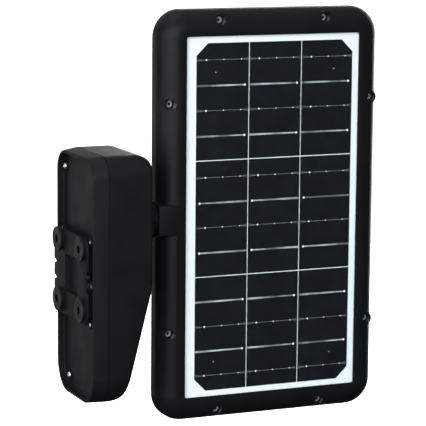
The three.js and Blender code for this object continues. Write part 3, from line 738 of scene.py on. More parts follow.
def right_side(inset):
    """Points down the housing's +X side as (x, z, outward x, outward z)."""
    housing = housing_settings()
    half, top, bottom = SHELL_HIGH.x - inset, SHELL_HIGH.z - inset, SHELL_LOW.z + inset
    upper, lower = housing.top_radius / MM - inset, housing.bottom_radius / MM - inset
    steps = 14
    points = []
    for k in range(steps + 1):
        turn = math.pi / 2 * (1 - k / steps)
        out = (math.cos(turn), math.sin(turn))
        points.append((half - upper + upper * out[0], top - upper + upper * out[1], *out))
    for z in (40, 0, -2.5, -5, -7.5, -10, -12.5, -15, -17.5, -50):
        points.append((half, z, 1.0, 0.0))
    for k in range(steps + 1):
        turn = -math.pi / 2 * k / steps
        out = (math.cos(turn), math.sin(turn))
        points.append((half - lower + lower * out[0], bottom + lower + lower * out[1], *out))
    return points


def deep_shell(inset, rear, rounding):
    """The front shell's outer or inner form: a deep bowl with its front edge rounded over."""
    line = front_line(inset)
    side = right_side(inset)
    around = side + [(-x, z, -a, b) for x, z, a, b in reversed(side)]
    steps = 6
    rings = [[(x, rear, z) for x, z, a, b in around]]
    for k in range(steps + 1):
        turn = math.pi / 2 * k / steps
        drawn = rounding * (1 - math.cos(turn))
        lift = rounding * (1 - math.sin(turn))
        rings.append([(x - a * drawn, front_at(line, z - b * drawn) + lift, z - b * drawn)
                      for x, z, a, b in around])
    form = skin(rings, front=False)
    form.verts.ensure_lookup_table()
    last = form.verts[-len(around):]
    for i in range(len(side) - 1):
        form.faces.new((last[i], last[i + 1], last[len(around) - 2 - i], last[len(around) - 1 - i]))
    bmesh.ops.recalc_face_normals(form, faces=form.faces)
    return form


def slope_place():
    """The axes of the sloping front: -Y points out of it and Z runs up it."""
    lean = housing_settings().slope
    forward = SHELL_LOW.y + (BREAK_Z - WINDOW_CENTRE_Z) * math.tan(lean)
    return Matrix.Translation((0, forward, WINDOW_CENTRE_Z)) @ Matrix.Rotation(lean, 4, "X")


def on_slope(form):
    """Moves a form from the sloping front's axes to the object's."""
    form.transform(slope_place())
    return form


# ---------------------------------------------------------------- wall bracket

PAD_NODES = [f"wall_pad_{i}" for i in range(1, 5)]
PLATE_REAR, PLATE_FRONT = -4, -5.8
PLATE_LEFT, PLATE_RIGHT = -43, 48
TONGUE_FLANGE, TONGUE_NECK, TONGUE_TOP, TONGUE_BOTTOM = 26, 21, 20, -22
LOCK_Y, LOCK_Z = -8.4, -4
LUG_INNER, LUG_OUTER = -42.25, -44.6
BOSS_RADIUS, PAD_RADIUS, PAD_HOLE, PAD_DEPTH = 10, 11.75, 4, 1.75
COUNTERBORE, WALL_HOLE, SLEEVE_HOLE = 5.4, 3.3, 3.1


class SOLARCAM_OT_bracket(bpy.types.Operator):
    """Build the wall bracket: plate, bosses, tongue, lug, rubber pads and dark sleeves that paint shade into
    the wall holes
    """

    bl_idname = "solarcam.bracket"
    bl_label = "Wall Bracket"

    def execute(self, context):
        latch = [(PLATE_LEFT, -11, 1), (-39.5, -11, 1.5), (-39.5, 2, 0), (-45.9, 2, 0.8), (-45.9, 6.5, 0.8),
                 (-41, 6.5, 0.6), (-39.5, 8, 0), (PLATE_LEFT, 8, 1)]
        notches = [(PLATE_RIGHT, 7.8, 0.4), (PLATE_RIGHT - 7, 5.2, 0.5), (PLATE_RIGHT, 2.6, 0.4),
                   (PLATE_RIGHT, -7.6, 0.4), (PLATE_RIGHT - 7, -10.2, 0.5), (PLATE_RIGHT, -12.8, 0.4)]
        outline = filleted([(PLATE_LEFT, PLATE_LOW.z, 10), *latch, (PLATE_LEFT, PLATE_HIGH.z, 10),
                            (PLATE_RIGHT, PLATE_HIGH.z, 10), *notches, (PLATE_RIGHT, PLATE_LOW.z, 10)], 5)
        form = prism_y(outline, PLATE_REAR, PLATE_FRONT)
        soften(form, 0.35, 2)
        plate = piece("bracket_body", form, bracket_plastic())
        places = [middle_of(name) for name in PAD_NODES]
        extras = bmesh.new()
        for place in places:
            profile = [(BOSS_RADIUS, PLATE_FRONT), (BOSS_RADIUS, -PAD_DEPTH - 0.6),
                       (BOSS_RADIUS - 0.6, -PAD_DEPTH)]
            turned(profile, (place.x, 0, place.z), form=extras)
        combine(plate, extras, "UNION")
        tongue = block((-TONGUE_NECK, -11.5, TONGUE_BOTTOM), (TONGUE_NECK, PLATE_FRONT + 0.5, TONGUE_TOP))
        combine(plate, tongue, "UNION")
        flange = block((-TONGUE_FLANGE, PLATE_LOW.y, TONGUE_BOTTOM), (TONGUE_FLANGE, -11, TONGUE_TOP))
        soften(flange, 0.5, 2)
        combine(plate, flange, "UNION")
        neck = block((LUG_OUTER, -7.9, LOCK_Z - 2), (-38.5, PLATE_FRONT + 0.8, LOCK_Z + 2))
        combine(plate, neck, "UNION")
        lug = turned([(4, LUG_OUTER), (4.4, LUG_OUTER + 0.4), (4.4, LUG_INNER)], (0, LOCK_Y, LOCK_Z), "X")
        combine(plate, lug, "UNION")
        combine(plate, prism_y(rectangle((-17.5, 17.5), (-18.5, 16.5), 2, 6), -9, -1))
        holes = bmesh.new()
        for place in places:
            turned([(COUNTERBORE, PLATE_FRONT - 8), (COUNTERBORE, -3.8), (WALL_HOLE, -3.8), (WALL_HOLE, -2.1),
                    (4.1, -1)], (place.x, 0, place.z), form=holes)
        combine(plate, holes)
        settle(plate, "bracket", "black_plastic", "bracket_plate")
        for name, place in zip(PAD_NODES, places):
            section = [(PAD_HOLE, -PAD_DEPTH), (PAD_RADIUS - 0.4, -PAD_DEPTH), (PAD_RADIUS, 0.4 - PAD_DEPTH),
                       (PAD_RADIUS, -0.4), (PAD_RADIUS - 0.4, 0), (PAD_HOLE, 0)]
            pad = ring_turned(section, (place.x, place.z))
            settle(piece(name.replace("wall_pad", "soft_pad"), pad, black_rubber()),
                   "bracket", "black_rubber", name)
            # A near-black sleeve lines each pad hole: painted shade that makes the hole look deep and dark.
            outer = PAD_HOLE - 0.05
            section = [(SLEEVE_HOLE, -0.7), (outer, -0.7), (outer, -3.2), (SLEEVE_HOLE, -3.2)]
            sleeve = ring_turned(section, (place.x, place.z))
            settle(piece(name.replace("wall_pad", "painted_shade_sleeve"), sleeve, painted_hole_shade()),
                   "bracket", "black_rubber")
        return {"FINISHED"}


# ---------------------------------------------------------------- housing

class SOLARCAM_OT_rear_cover(bpy.types.Operator):
    """Build the shallow rear cover with its recess and screw rings"""

    bl_idname = "solarcam.rear_cover"
    bl_label = "Rear Cover"

    def execute(self, context):
        housing = housing_settings()
        rim = housing.rim / MM
        edge = housing.edge / MM
        seam, rear = REAR_LOW.y, REAR_HIGH.y
        inner_floor = RECESS_FLOOR - SHELL_WALL
        rings = [across_y(housing_outline(0, 3.5), inner_floor), across_y(housing_outline(0, 3.5), seam)]
        rings.append(across_y(housing_outline(0, 0.25), seam))
        rings.append(across_y(housing_outline(0), seam + 0.25))
        for k in range(5):
            turn = math.pi / 2 * k / 4
            rings.append(across_y(housing_outline(1, edge * (1 - math.cos(turn))),
                                  rear - edge + edge * math.sin(turn)))
        rings.append(across_y(housing_outline(1, rim - 0.4), rear))
        rings.append(across_y(housing_outline(1, rim), rear - 0.4))
        rings.append(across_y(housing_outline(1, rim), RECESS_FLOOR + 0.6))
        rings.append(across_y(housing_outline(1, rim + 0.6), RECESS_FLOOR))
        cover = piece("rear_shell", skin(rings), housing_plastic())
        collars = bmesh.new()
        for i in range(1, 5):
            place = middle_of(f"cover_screw_{i}")
            ring_turned([(4.4, RECESS_FLOOR - 0.5), (6.2, RECESS_FLOOR - 0.5), (6.2, RECESS_FLOOR + 0.9),
                         (5.9, RECESS_FLOOR + 1.2), (4.7, RECESS_FLOOR + 1.2), (4.4, RECESS_FLOOR + 0.9)],
                        (place.x, place.z), form=collars)
        combine(cover, collars, "UNION")
        settle(cover, "housing", "black_plastic", "rear_cover")
        return {"FINISHED"}


class SOLARCAM_OT_front_shell(bpy.types.Operator):
    """Build the deep front shell: brow, sloping front, window opening, service pocket and sound slits"""

    bl_idname = "solarcam.front_shell"
    bl_label = "Front Shell"

    def execute(self, context):
        seam = SHELL_HIGH.y
        shell = piece("front_case", deep_shell(0, seam, 4), housing_plastic())
        combine(shell, deep_shell(SHELL_WALL, seam + 1, 2.5))
        side = SHELL_HIGH.x
        combine(shell, block((side - 12, -49, -54), (side - 0.5, -32, -16)), "UNION")
        opening = rectangle((-47, -34), (-52, -18), 1.5, 5)
        combine(shell, prism_x(opening, side - 10, side + 1))
        ports = turned([(3.4, side - 13), (3.4, side - 9)], (0, -40.5, -24), "X", 24)
        for ports_y, ports_z in (((-42.5, -38.5), (-38, -28)), ((-42.2, -38.8), (-50.8, -39.2))):
            prism_x(rectangle(ports_y, ports_z, 0.8, 4), side - 13, side - 9, ports)
        combine(shell, ports)
        slits = bmesh.new()
        for y in (-37.5, -33.5, -29.5):
            outline = rectangle((y - 0.8, y + 0.8), (-85, -71), 0.79, 5)
            prism_x(outline, side - 6, side + 1, slits)
        combine(shell, slits)
        window = rectangle((-31.25, 31.25), (-37.25, 37.25), 10, 8)
        combine(shell, on_slope(prism_y(window, -9, 9)))
        combine(shell, turned([(10.6, SHELL_LOW.y - 1), (10.6, SHELL_LOW.y + 5)], (0, 0, AXIS_Z), steps=40))
        settle(shell, "housing", "black_plastic", "front_shell")
        return {"FINISHED"}


SEAT_HALF, SEAT_TOP, EAR_RADIUS = 33, 37.5, 4.3


class SOLARCAM_OT_seat(bpy.types.Operator):
    """Build the moulded seat that slides over the bracket's tongue, and finish the gasket"""

    bl_idname = "solarcam.seat"
    bl_label = "Mount Seat"

    def execute(self, context):
        outline = rectangle((-SEAT_HALF, SEAT_HALF), (SEAT_LOW.z + 1.3, SEAT_TOP), 3, 6)
        form = prism_y(outline, RECESS_FLOOR, SEAT_HIGH.y)
        soften(form, 0.6, 3, lambda point: point.y > SEAT_HIGH.y - 0.1)
        seat = piece("seat_block", form, housing_plastic())
        for i in range(1, 5):
            place = middle_of(f"seat_screw_{i}")
            side = math.copysign(1, place.x)
            ear = [(place.x - side * 10, place.z - 2), (place.x, place.z - 2),
                   (place.x, place.z + 2), (place.x - side * 10, place.z + 2)]
            combine(seat, prism_y(ear, RECESS_FLOOR, SEAT_HIGH.y), "UNION")
            profile = [(EAR_RADIUS, RECESS_FLOOR), (EAR_RADIUS, SEAT_HIGH.y - 0.4),
                       (EAR_RADIUS - 0.4, SEAT_HIGH.y)]
            combine(seat, turned(profile, (place.x, 0, place.z), steps=40), "UNION")
        reach, neck, flange = TONGUE_TOP + 0.5, TONGUE_NECK + 0.5, TONGUE_FLANGE + 0.5
        combine(seat, block((-neck, RECESS_FLOOR - 1, SEAT_LOW.z - 1), (neck, 0, reach)))
        combine(seat, block((-flange, RECESS_FLOOR - 1, SEAT_LOW.z - 1), (flange, -10.75, reach)))
        holes = bmesh.new()
        for i in range(1, 5):
            place = middle_of(f"seat_screw_{i}")
            turned([(3.3, SEAT_HIGH.y - 2), (3.3, SEAT_HIGH.y + 1)], (place.x, 0, place.z), form=holes)
        combine(seat, holes)
        settle(seat, "housing", "black_plastic", "mount_seat")
        dress(black_rubber(), "cover_gasket")
        return {"FINISHED"}


# ---------------------------------------------------------------- screws

def pan_screw(name, place, head, low, top, axis="Y", out=1, shank=1.5, length=4.0):
    """A pan-head screw with a cross recess; low and top are where its head sits along the axis."""
    high = top - low
    profile = [(shank, -length), (shank, 0), (head, 0), (head, high * 0.4)]
    for k in range(1, 6):
        turn = math.pi / 2 * k / 5
        profile.append((head * (0.42 + 0.58 * math.cos(turn)), high * (0.4 + 0.6 * math.sin(turn))))
    flip = [(radius, low + out * along) for radius, along in profile]
    made = piece(name, turned(flip, place, axis, 28), plated_steel())
    wide, thin = head * 0.52, head * 0.13
    cross = [(wide, -thin), (wide, thin), (thin, thin), (thin, wide), (-thin, wide), (-thin, thin),
             (-wide, thin), (-wide, -thin), (-thin, -thin), (-thin, -wide), (thin, -wide), (thin, -thin)]
    flat = [place[i] for i in range(3) if i != "XYZ".index(axis)]
    cross = [(flat[0] + a, flat[1] + b) for a, b in cross]
    across = {"X": across_x, "Y": across_y}[axis]
    combine(made, skin([across(cross, low + out * (high - min(0.9, high * 0.55))),
                        across(cross, low + out * (high + 0.5))]))
    return made


SEAT_HEAD, COVER_HEAD, LOCK_HEAD, PANEL_HEAD = 3, 3.1, 1.9, 3.2  # radii of the screws' heads


class SOLARCAM_OT_screws(bpy.types.Operator):
    """Build the seat, cover, lock and panel screws"""

    bl_idname = "solarcam.screws"
    bl_label = "Screws"

    def execute(self, context):
        for i in range(1, 5):
            place = middle_of(f"seat_screw_{i}")
            made = pan_screw(f"seat_pan_{i}", (place.x, 0, place.z), SEAT_HEAD, -10.25, -8.5)
            settle(made, "housing", "steel", f"seat_screw_{i}")
            place = middle_of(f"cover_screw_{i}")
            made = pan_screw(f"cover_pan_{i}", (place.x, 0, place.z), COVER_HEAD, RECESS_FLOOR + 0.25, -11.4)
            settle(made, "housing", "steel", f"cover_screw_{i}")
        head_front = node_box("lock_screw")[0].x
        made = pan_screw("lock_pan", (0, LOCK_Y, LOCK_Z), LOCK_HEAD, LUG_OUTER - 0.1, head_front, "X", -1,
                         shank=1.2, length=1.9)
        settle(made, "bracket", "steel", "lock_screw")
        for i in range(1, 9):
            place = middle_of(f"panel_screw_{i}")
            head_front = node_box(f"panel_screw_{i}")[0].x
            centre = (0, place.y, place.z)
            made = pan_screw(f"frame_pan_{i}", centre, PANEL_HEAD, head_front + 1.9, head_front, "X", -1)
            settle(made, "panel", "steel", f"panel_screw_{i}")
        return {"FINISHED"}


# ---------------------------------------------------------------- camera window

LENS_Z, LED_X, LED_Z, PIR_Z = 12, 20, -8, -22


class SOLARCAM_OT_window(bpy.types.Operator):
    """Build the gloss window, lens, lamps and motion sensor on the sloping front"""

    bl_idname = "solarcam.window"
    bl_label = "Camera Window"

    def execute(self, context):
        outline = rectangle((-31, 31), (-37, 37), 10, 10)
        form = prism_y(outline, SHELL_WALL, -0.8)
        soften(form, 0.7, 4, lambda point: point.y < -0.7)
        fascia = piece("window_plate", on_slope(form), polished_black())
        holes = bmesh.new()
        for x, z, radius in ((0, LENS_Z, 8.5), (LED_X, LED_Z, 6.6), (-LED_X, LED_Z, 6.6), (0, PIR_Z, 9.6)):
            turned([(radius, -8), (radius, 8)], (x, 0, z), steps=40, form=holes)
        combine(fascia, on_slope(holes))
        settle(fascia, "housing", "gloss_black", "camera_fascia")

        section = [(15, -1.1), (15, -3.8), (14.7, -4.5), (14, -4.8), (13.2, -4.8), (12.7, -4.6),
                   (9.9, -3.2), (9.6, -2.9), (9.6, -1.1)]
        form = ring_turned(section, (0, LENS_Z), 64)
        settle(piece("lens_ring", on_slope(form), inner_plastic()), "housing", "dark_plastic", "lens_bezel")
        form = turned([(9.3, -2.6), *dome(9.3, -3.3, 1)], (0, 0, LENS_Z), steps=48)
        settle(piece("lens_cover", on_slope(form), lens_glazing()), "housing", "clear_glass", "lens_glass")
        barrel = [(6, 16), (6, 6), (8.2, 6), (8.2, -1.9), (7.9, -2.2), (6.2, -2.2), (6.0, -1.9), (5.6, -1.2),
                  (5.0, -1.2), (4.8, -0.9), (3.6, -0.6), (3.2, -0.9), (2.4, -1.15), (1.4, -1.3), (0.4, -1.35)]
        form = turned(barrel, (0, 0, LENS_Z), steps=48)
        settle(piece("lens_body", on_slope(form), polished_black()), "housing", "gloss_black", "lens_barrel")
        for side, name in ((1, "left"), (-1, "right")):
            form = turned([(6.3, 4), *dome(6.3, -0.9, 2)], (side * LED_X, 0, LED_Z), steps=40)
            settle(piece(f"lamp_{name}", on_slope(form), frosted_cover()),
                   "housing", "frosted", f"led_lens_{name}")
        profile = [(9.3, 2), (9.3, -0.8)]
        for k in range(1, 12):
            turn = math.pi / 2 * k / 12
            groove = 0.0 if k % 2 else 0.12
            profile.append(((9.3 - groove) * math.cos(turn), -0.8 - (5.7 - groove) * math.sin(turn)))
        profile.append((0.3, -6.5))
        form = turned(profile, (0, 0, PIR_Z), steps=48)
        settle(piece("motion_dome", on_slope(form), frosted_cover()), "housing", "frosted", "pir_lens")
        return {"FINISHED"}


# ---------------------------------------------------------------- service pocket

class SOLARCAM_OT_service(bpy.types.Operator):
    """Build the rubber flap over the service pocket, its anchor and the power button"""

    bl_idname = "solarcam.service"
    bl_label = "Service Flap"

    def execute(self, context):
        low, high = node_box("service_flap")
        cover = rectangle((low.y, high.y), (low.z, high.z), 3, 8)
        form = prism_x(cover, high.x - 1.5, high.x)
        soften(form, 0.5, 3)
        flap = piece("flap_cover", form, black_rubber())
        plug_y, plug_z = (-46.6, -34.4), (-51.6, -18.4)
        rings = [across_x(rectangle(plug_y, plug_z, 1.5, 5), high.x - 0.6),
                 across_x(rectangle(plug_y, plug_z, 1.5, 5), low.x + 0.5),
                 across_x(rectangle((plug_y[0] + 0.5, plug_y[1] - 0.5),
                                    (plug_z[0] + 0.5, plug_z[1] - 0.5), 1.2, 5), low.x)]
        combine(flap, skin(rings), "UNION")
        grip = rectangle((low.y + 1.2, low.y + 2.6), (low.z + 12, high.z - 12), 0.69, 5)
        combine(flap, prism_x(grip, high.x - 0.5, high.x + 1))
        settle(flap, "service_flap", "black_rubber", "service_flap")
        low, high = node_box("flap_anchor")
        form = prism_x(rectangle((low.y, high.y), (low.z, high.z), 1.5, 6), low.x, high.x)
        soften(form, 0.4, 3, lambda point: point.x > high.x - 0.1)
        settle(piece("anchor_pad", form, black_rubber()), "housing", "black_rubber", "flap_anchor")
        low, high = node_box("power_button")
        profile = [(4, low.x), (4, low.x + 1.4), (3, low.x + 1.4), (3, high.x - 0.5), (2.6, high.x - 0.12),
                   (2.2, high.x), (1.6, high.x), (1.3, high.x - 0.25), (0.4, high.x - 0.3)]
        form = turned(profile, (0, (low.y + high.y) / 2, (low.z + high.z) / 2), "X", 32)
        settle(piece("button_cap", form, black_rubber()), "power_button", "black_rubber", "power_button")
        dress(circuit_board(), "port_board")
        dress(turned_steel(), "usb_socket")
        dress(inner_plastic(), "card_slot")
        return {"FINISHED"}


# ---------------------------------------------------------------- swivel

class SOLARCAM_OT_swivel(bpy.types.Operator):
    """Build the swivel collar on the housing and the neck on the panel"""

    bl_idname = "solarcam.swivel"
    bl_label = "Swivel"

    def execute(self, context):
        radius = (COLLAR_HIGH.x - COLLAR_LOW.x) / 2
        front, rear = COLLAR_LOW.y, COLLAR_HIGH.y
        section = [(10.6, rear), (radius, rear)]
        for k in range(7):
            turn = math.pi / 2 * k / 6
            section.append((radius - 2 + 2 * math.cos(turn), front + 2 - 2 * math.sin(turn)))
        section += [(19.5, front), (19.2, front + 0.5), (18.2, front + 0.5), (17.9, front), (10.9, front),
                    (10.6, front + 0.3)]
        form = ring_turned(section, (0, AXIS_Z), 72)
        settle(piece("collar_ring", form, housing_plastic()), "housing", "black_plastic", "swivel_collar")
        radius = (NECK_HIGH.x - NECK_LOW.x) / 2
        front, rear = NECK_LOW.y, NECK_HIGH.y
        section = [(BORE, rear), (radius - 0.4, rear), (radius, rear - 0.4), (radius, rear - 2.2),
                   (radius - 0.7, rear - 2.6), (radius - 0.7, front + 0.8), (radius - 0.2, front + 0.4),
                   (radius - 0.2, front), (BORE, front)]
        form = ring_turned(section, (0, AXIS_Z), 64)
        settle(piece("neck_sleeve", form, inner_plastic()), "panel", "dark_plastic", "neck_ring")
        dress(turned_steel(), "pivot_tube", "wave_washer", "pivot_nut")
        dress(lead_sheath(), "panel_lead")
        return {"FINISHED"}


# ---------------------------------------------------------------- solar panel

def around_window(grow, corner, steps=10):
    """A rounded rectangle in (y, z), outside the panel's window by a distance."""
    return rectangle((WINDOW_Y[0] - grow, WINDOW_Y[1] + grow), (WINDOW_Z[0] - grow, WINDOW_Z[1] + grow),
                     corner, steps)


def frame_section():
    """The frame's section as (outwards from the window, back from its front)."""
    panel = panel_settings()
    lip, roll, wall = panel.lip / MM, panel.roll / MM, 2.5
    depth = PANEL_REAR - PANEL_FRONT
    steps = 14

    def arc(radius):
        turns = [math.pi / 2 * k / steps for k in range(steps + 1)]
        return [(lip + radius * math.sin(t), roll - radius * math.cos(t)) for t in turns]

    return [(0, 0.35), (0.1, 0.1), (0.35, 0), *arc(roll), (FRAME_WIDTH, depth - 0.5),
            (FRAME_WIDTH - 0.5, depth), (FRAME_WIDTH - wall, depth), *reversed(arc(roll - wall)),
            (3.3, wall), (3.3, 0.8), (0, 0.8)]


def swept_frame():
    """The frame's section swept round the window."""
    corner = panel_settings().window_corner / MM
    section = frame_section()
    steps = 12
    rings = []
    for a, b, start in ((1, 1, 0), (0, 1, 90), (0, 0, 180), (1, 0, 270)):
        y = WINDOW_Y[a] - (corner if a else -corner)
        z = WINDOW_Z[b] - (corner if b else -corner)
        for k in range(steps + 1):
            turn = math.radians(start + 90 * k / steps)
            rings.append([(PANEL_FRONT + back, y + math.cos(turn) * (corner + away),
                           z + math.sin(turn) * (corner + away)) for away, back in section])
    return skin(rings, loop=True)


def panel_screw_places():
    return [middle_of(f"panel_screw_{i}") for i in range(1, 9)]


class SOLARCAM_OT_panel_frame(bpy.types.Operator):
    """Build the panel's rounded frame with its hub and screw pockets"""

    bl_idname = "solarcam.panel_frame"
    bl_label = "Panel Frame"

    def execute(self, context):
        panel = panel_settings()
        made = piece("solar_frame", swept_frame(), frame_plastic())
        columns = bmesh.new()
        for place in panel_screw_places():
            turned([(6.2, PANEL_FRONT + 3.5), (6.2, PANEL_FRONT + 11)], (0, place.y, place.z), "X",
                   form=columns)
        combine(made, columns, "UNION")
        half, waist = HUB_HALF, HUB_HALF + HUB_FLARE
        outline = [(x, z + AXIS_Z) for x, z in filleted([
            (PANEL_FRONT, -half, 1.6), (PANEL_FRONT, half, 1.6), (-1, waist, 9), (half, 11, 9),
            (half, -11, 9), (-1, -waist, 9)], 8)]
        inset = [(x * 0.985 - 0.03, AXIS_Z + (z - AXIS_Z) * 0.96) for x, z in outline]
        hub = skin([across_y(inset, HUB_REAR), across_y(outline, HUB_REAR - 0.6),
                    across_y(outline, HUB_FRONT)])
        combine(made, hub, "UNION")
        laminate = around_window(3.3, 1, 3)
        combine(made, prism_x(laminate, PANEL_FRONT + 0.8, 0))
        cuts = bmesh.new()
        for place in panel_screw_places():
            turned([(panel.screw_pocket / MM, PANEL_FRONT - 1), (panel.screw_pocket / MM, PANEL_FRONT + 9)],
                   (0, place.y, place.z), "X", 40, form=cuts)
        turned([(BORE, HUB_FRONT - 1), (BORE, HUB_REAR + 1)], (0, 0, AXIS_Z), steps=40, form=cuts)
        combine(made, cuts)
        settle(made, "panel", "black_plastic", "panel_frame")
        return {"FINISHED"}


class SOLARCAM_OT_panel_back(bpy.types.Operator):
    """Build the panel's back cover with its shallow recess and stiffening ribs"""

    bl_idname = "solarcam.panel_back"
    bl_label = "Panel Back"

    def execute(self, context):
        grow = FRAME_WIDTH - 2.5 - 0.3
        outline = around_window(grow, 2 + grow, 12)
        inner = around_window(grow - 10, grow - 8, 12)
        floor = PANEL_REAR - 1.2
        rings = [across_x(outline, PANEL_REAR - SHELL_WALL), across_x(outline, PANEL_REAR - 0.4),
                 across_x(around_window(grow - 0.4, 1.6 + grow, 12), PANEL_REAR),
                 across_x(around_window(grow - 9.2, grow - 7.2, 12), PANEL_REAR), across_x(inner, floor)]
        made = piece("solar_back", skin(rings), inner_plastic())
        ribs = bmesh.new()
        height = WINDOW_Z[1] - WINDOW_Z[0]
        for k in range(1, 8):
            z = WINDOW_Z[0] + height * k / 8
            bar = filleted([(floor - 0.5, z - 1.6, 0), (floor, z - 1.6, 0), (floor + 0.8, z - 1.0, 0.3),
                            (floor + 0.8, z + 1.0, 0.3), (floor, z + 1.6, 0), (floor - 0.5, z + 1.6, 0)], 3)
            skin([[(x, WINDOW_Y[0] + 4, b) for x, b in bar], [(x, WINDOW_Y[1] - 4, b) for x, b in bar]],
                 form=ribs)
        combine(made, ribs, "UNION")
        room = turned([(HUB_HALF + 0.5, HUB_FRONT - 0.5), (HUB_HALF + 0.5, HUB_REAR + 5)], (0, 0, AXIS_Z),
                      steps=48)
        combine(made, room)
        settle(made, "panel", "dark_plastic", "panel_back")
        return {"FINISHED"}


# Heights of the conductors on each string's cells, as shares of a cell's height from its top.
STRINGS = (
    {"name": "upper", "thin": (0.142, 0.575), "thick": (0.362, 0.795), "end": 1},
    {"name": "middle", "thin": (0.142, 0.575), "thick": (0.362, 0.795), "end": -1},
    {"name": "lower", "thin": (0.434, 0.866), "thick": (0.215, 0.651), "end": 1},
)
CELL_GAP = 0.9
ARRAY_SHIFT = {"left": -0.5, "right": -1.4, "top": -0.9, "bottom": -0.6}
SOLDER_PITCH = 17.8
SOLDER_START = 9.8
RIBBON_END = 4.0
RIBBON_WIDE, RIBBON_NARROW = 0.95, 0.6  # half widths where a ribbon starts and where it ends
THIN_HALF = 0.17
FORK_REACH, FORK_RISE, FORK_HALF = 8, 1.3, 0.09
END_BLOB, FIRST_POINT, POINT, MARK = 1.05, 0.8, 0.55, 0.45  # radii of the solder points
MARK_IN, MARK_DOWN = 19.5, 27.5


def add_slab(form, outline, low, high, index):
    """Adds a flat plate in (y, z) to a form and gives its faces a material index."""
    before = len(form.faces)
    prism_x(outline, high, low, form)
    form.faces.ensure_lookup_table()
    for face in form.faces[before:]:
        face.material_index = index


def clipped(low, high, corners, clip):
    """A cell's outline with some of its corners cut off; corners are (upper, nearer) pairs."""
    outline = []
    for upper, near in ((0, 0), (0, 1), (1, 1), (1, 0)):
        y = high[0] if near else low[0]
        z = high[1] if upper else low[1]
        if (upper, near) not in corners:
            outline.append((y, z))
            continue
        inward_y = -clip if near else clip
        inward_z = -clip if upper else clip
        along_y, along_z = (y + inward_y, z), (y, z + inward_z)
        outline += [along_y, along_z] if upper == 0 and near or upper and not near else [along_z, along_y]
    return outline


class SOLARCAM_OT_cells(bpy.types.Operator):
    """Build the three strings of solar cells with their conductors and solder points"""

    bl_idname = "solarcam.cells"
    bl_label = "Solar Cells"

    def execute(self, context):
        panel = panel_settings()
        clip = panel.clip / MM
        low, high = node_box("cell_string_1", "cell_string_2", "cell_string_3")
        left, right = high.y + ARRAY_SHIFT["left"], low.y + ARRAY_SHIFT["right"]
        top, bottom = high.z + ARRAY_SHIFT["top"], low.z + ARRAY_SHIFT["bottom"]
        wide = (left - right + CELL_GAP) / 3
        tall = (top - bottom + CELL_GAP) / 3
        materials = (cell_silicon(), solder_ribbon(), thin_conductor(), solder_point())
        for row, facts in enumerate(STRINGS):
            form = bmesh.new()
            cell_top = top - row * tall
            cell_bottom = cell_top - tall + CELL_GAP
            for column in range(3):
                near = left - column * wide
                far = near - wide + CELL_GAP
                corners = set()
                if row == 0 and column in (0, 2):
                    corners.add((1, 1 if column == 0 else 0))
                if row == 2 and column in (0, 2):
                    corners.add((0, 1 if column == 0 else 0))
                add_slab(form, clipped((far, cell_bottom), (near, cell_top), corners, clip), low.x, high.x, 0)
                self.conductors(form, facts, (near, far), (cell_top, cell_bottom), low.x)
                for upper, nearer in corners:
                    y = near - MARK_IN if nearer else far + MARK_IN
                    z = cell_top - MARK_DOWN if upper else cell_bottom + MARK_DOWN
                    add_slab(form, circle(y, z, MARK, 12), low.x - 0.08, low.x + 0.1, 3)
            made = piece(f"cells_{facts['name']}", form, *materials)
            settle(made, "panel", "silicon", f"cell_string_{row + 1}")
        dress(panel_glazing(), "panel_glass")
        dress(white_backsheet(), "panel_backsheet")
        return {"FINISHED"}

    def conductors(self, form, facts, across, upright, front):
        """Adds one cell's thick ribbons, thin conductors and solder points."""
        near, far = across
        top, bottom = upright
        raised, back = front - 0.06, front + 0.1
        start, end = (near, far + RIBBON_END) if facts["end"] > 0 else (far, near - RIBBON_END)
        for share in facts["thick"]:
            z = top - share * (top - bottom)
            ribbon = [(start, z - RIBBON_WIDE), (end, z - RIBBON_NARROW),
                      (end, z + RIBBON_NARROW), (start, z + RIBBON_WIDE)]
            add_slab(form, ribbon, raised, back, 1)
            add_slab(form, circle(end, z, END_BLOB, 16), raised - 0.02, back, 3)
        for share in facts["thin"]:
            z = top - share * (top - bottom)
            line = [(far, z - THIN_HALF), (near, z - THIN_HALF), (near, z + THIN_HALF), (far, z + THIN_HALF)]
            add_slab(form, line, raised, back, 2)
            for edge, inward in ((near, -1), (far, 1)):
                for rise in (-FORK_RISE, FORK_RISE):
                    tip = edge + inward * FORK_REACH
                    fork = [(edge, z + rise - FORK_HALF), (tip, z - FORK_HALF),
                            (tip, z + FORK_HALF), (edge, z + rise + FORK_HALF)]
                    add_slab(form, fork, raised + 0.02, back, 2)
            for k in range(panel_settings().solder_points):
                y = near - SOLDER_START - k * SOLDER_PITCH
                size = FIRST_POINT if k == 0 else POINT
                add_slab(form, circle(y, z, size, 14), raised - 0.02, back, 3)


# ---------------------------------------------------------------- inside the housing

class SOLARCAM_OT_insides(bpy.types.Operator):
    """Finish the batteries, boards and speaker inside the housing"""

    bl_idname = "solarcam.insides"
    bl_label = "Insides"

    def execute(self, context):
        dress(battery_sleeve(), "battery_cell_1", "battery_cell_2", "battery_cell_3")
        dress(inner_plastic(), "battery_tray", "speaker")
        dress(circuit_board(), "main_board", "antenna", "sensor_board")
        return {"FINISHED"}


# ---------------------------------------------------------------- stage

CAMERA_PLACE = (-1.90094, 0.67662, 0.38945)
CAMERA_AZIMUTH = math.radians(246.58)
CAMERA_ELEVATION = math.radians(9.33)
CAMERA_ROLL = math.radians(0.493)
CAMERA_LENS = 186.87
FLOOR_Z = -0.42


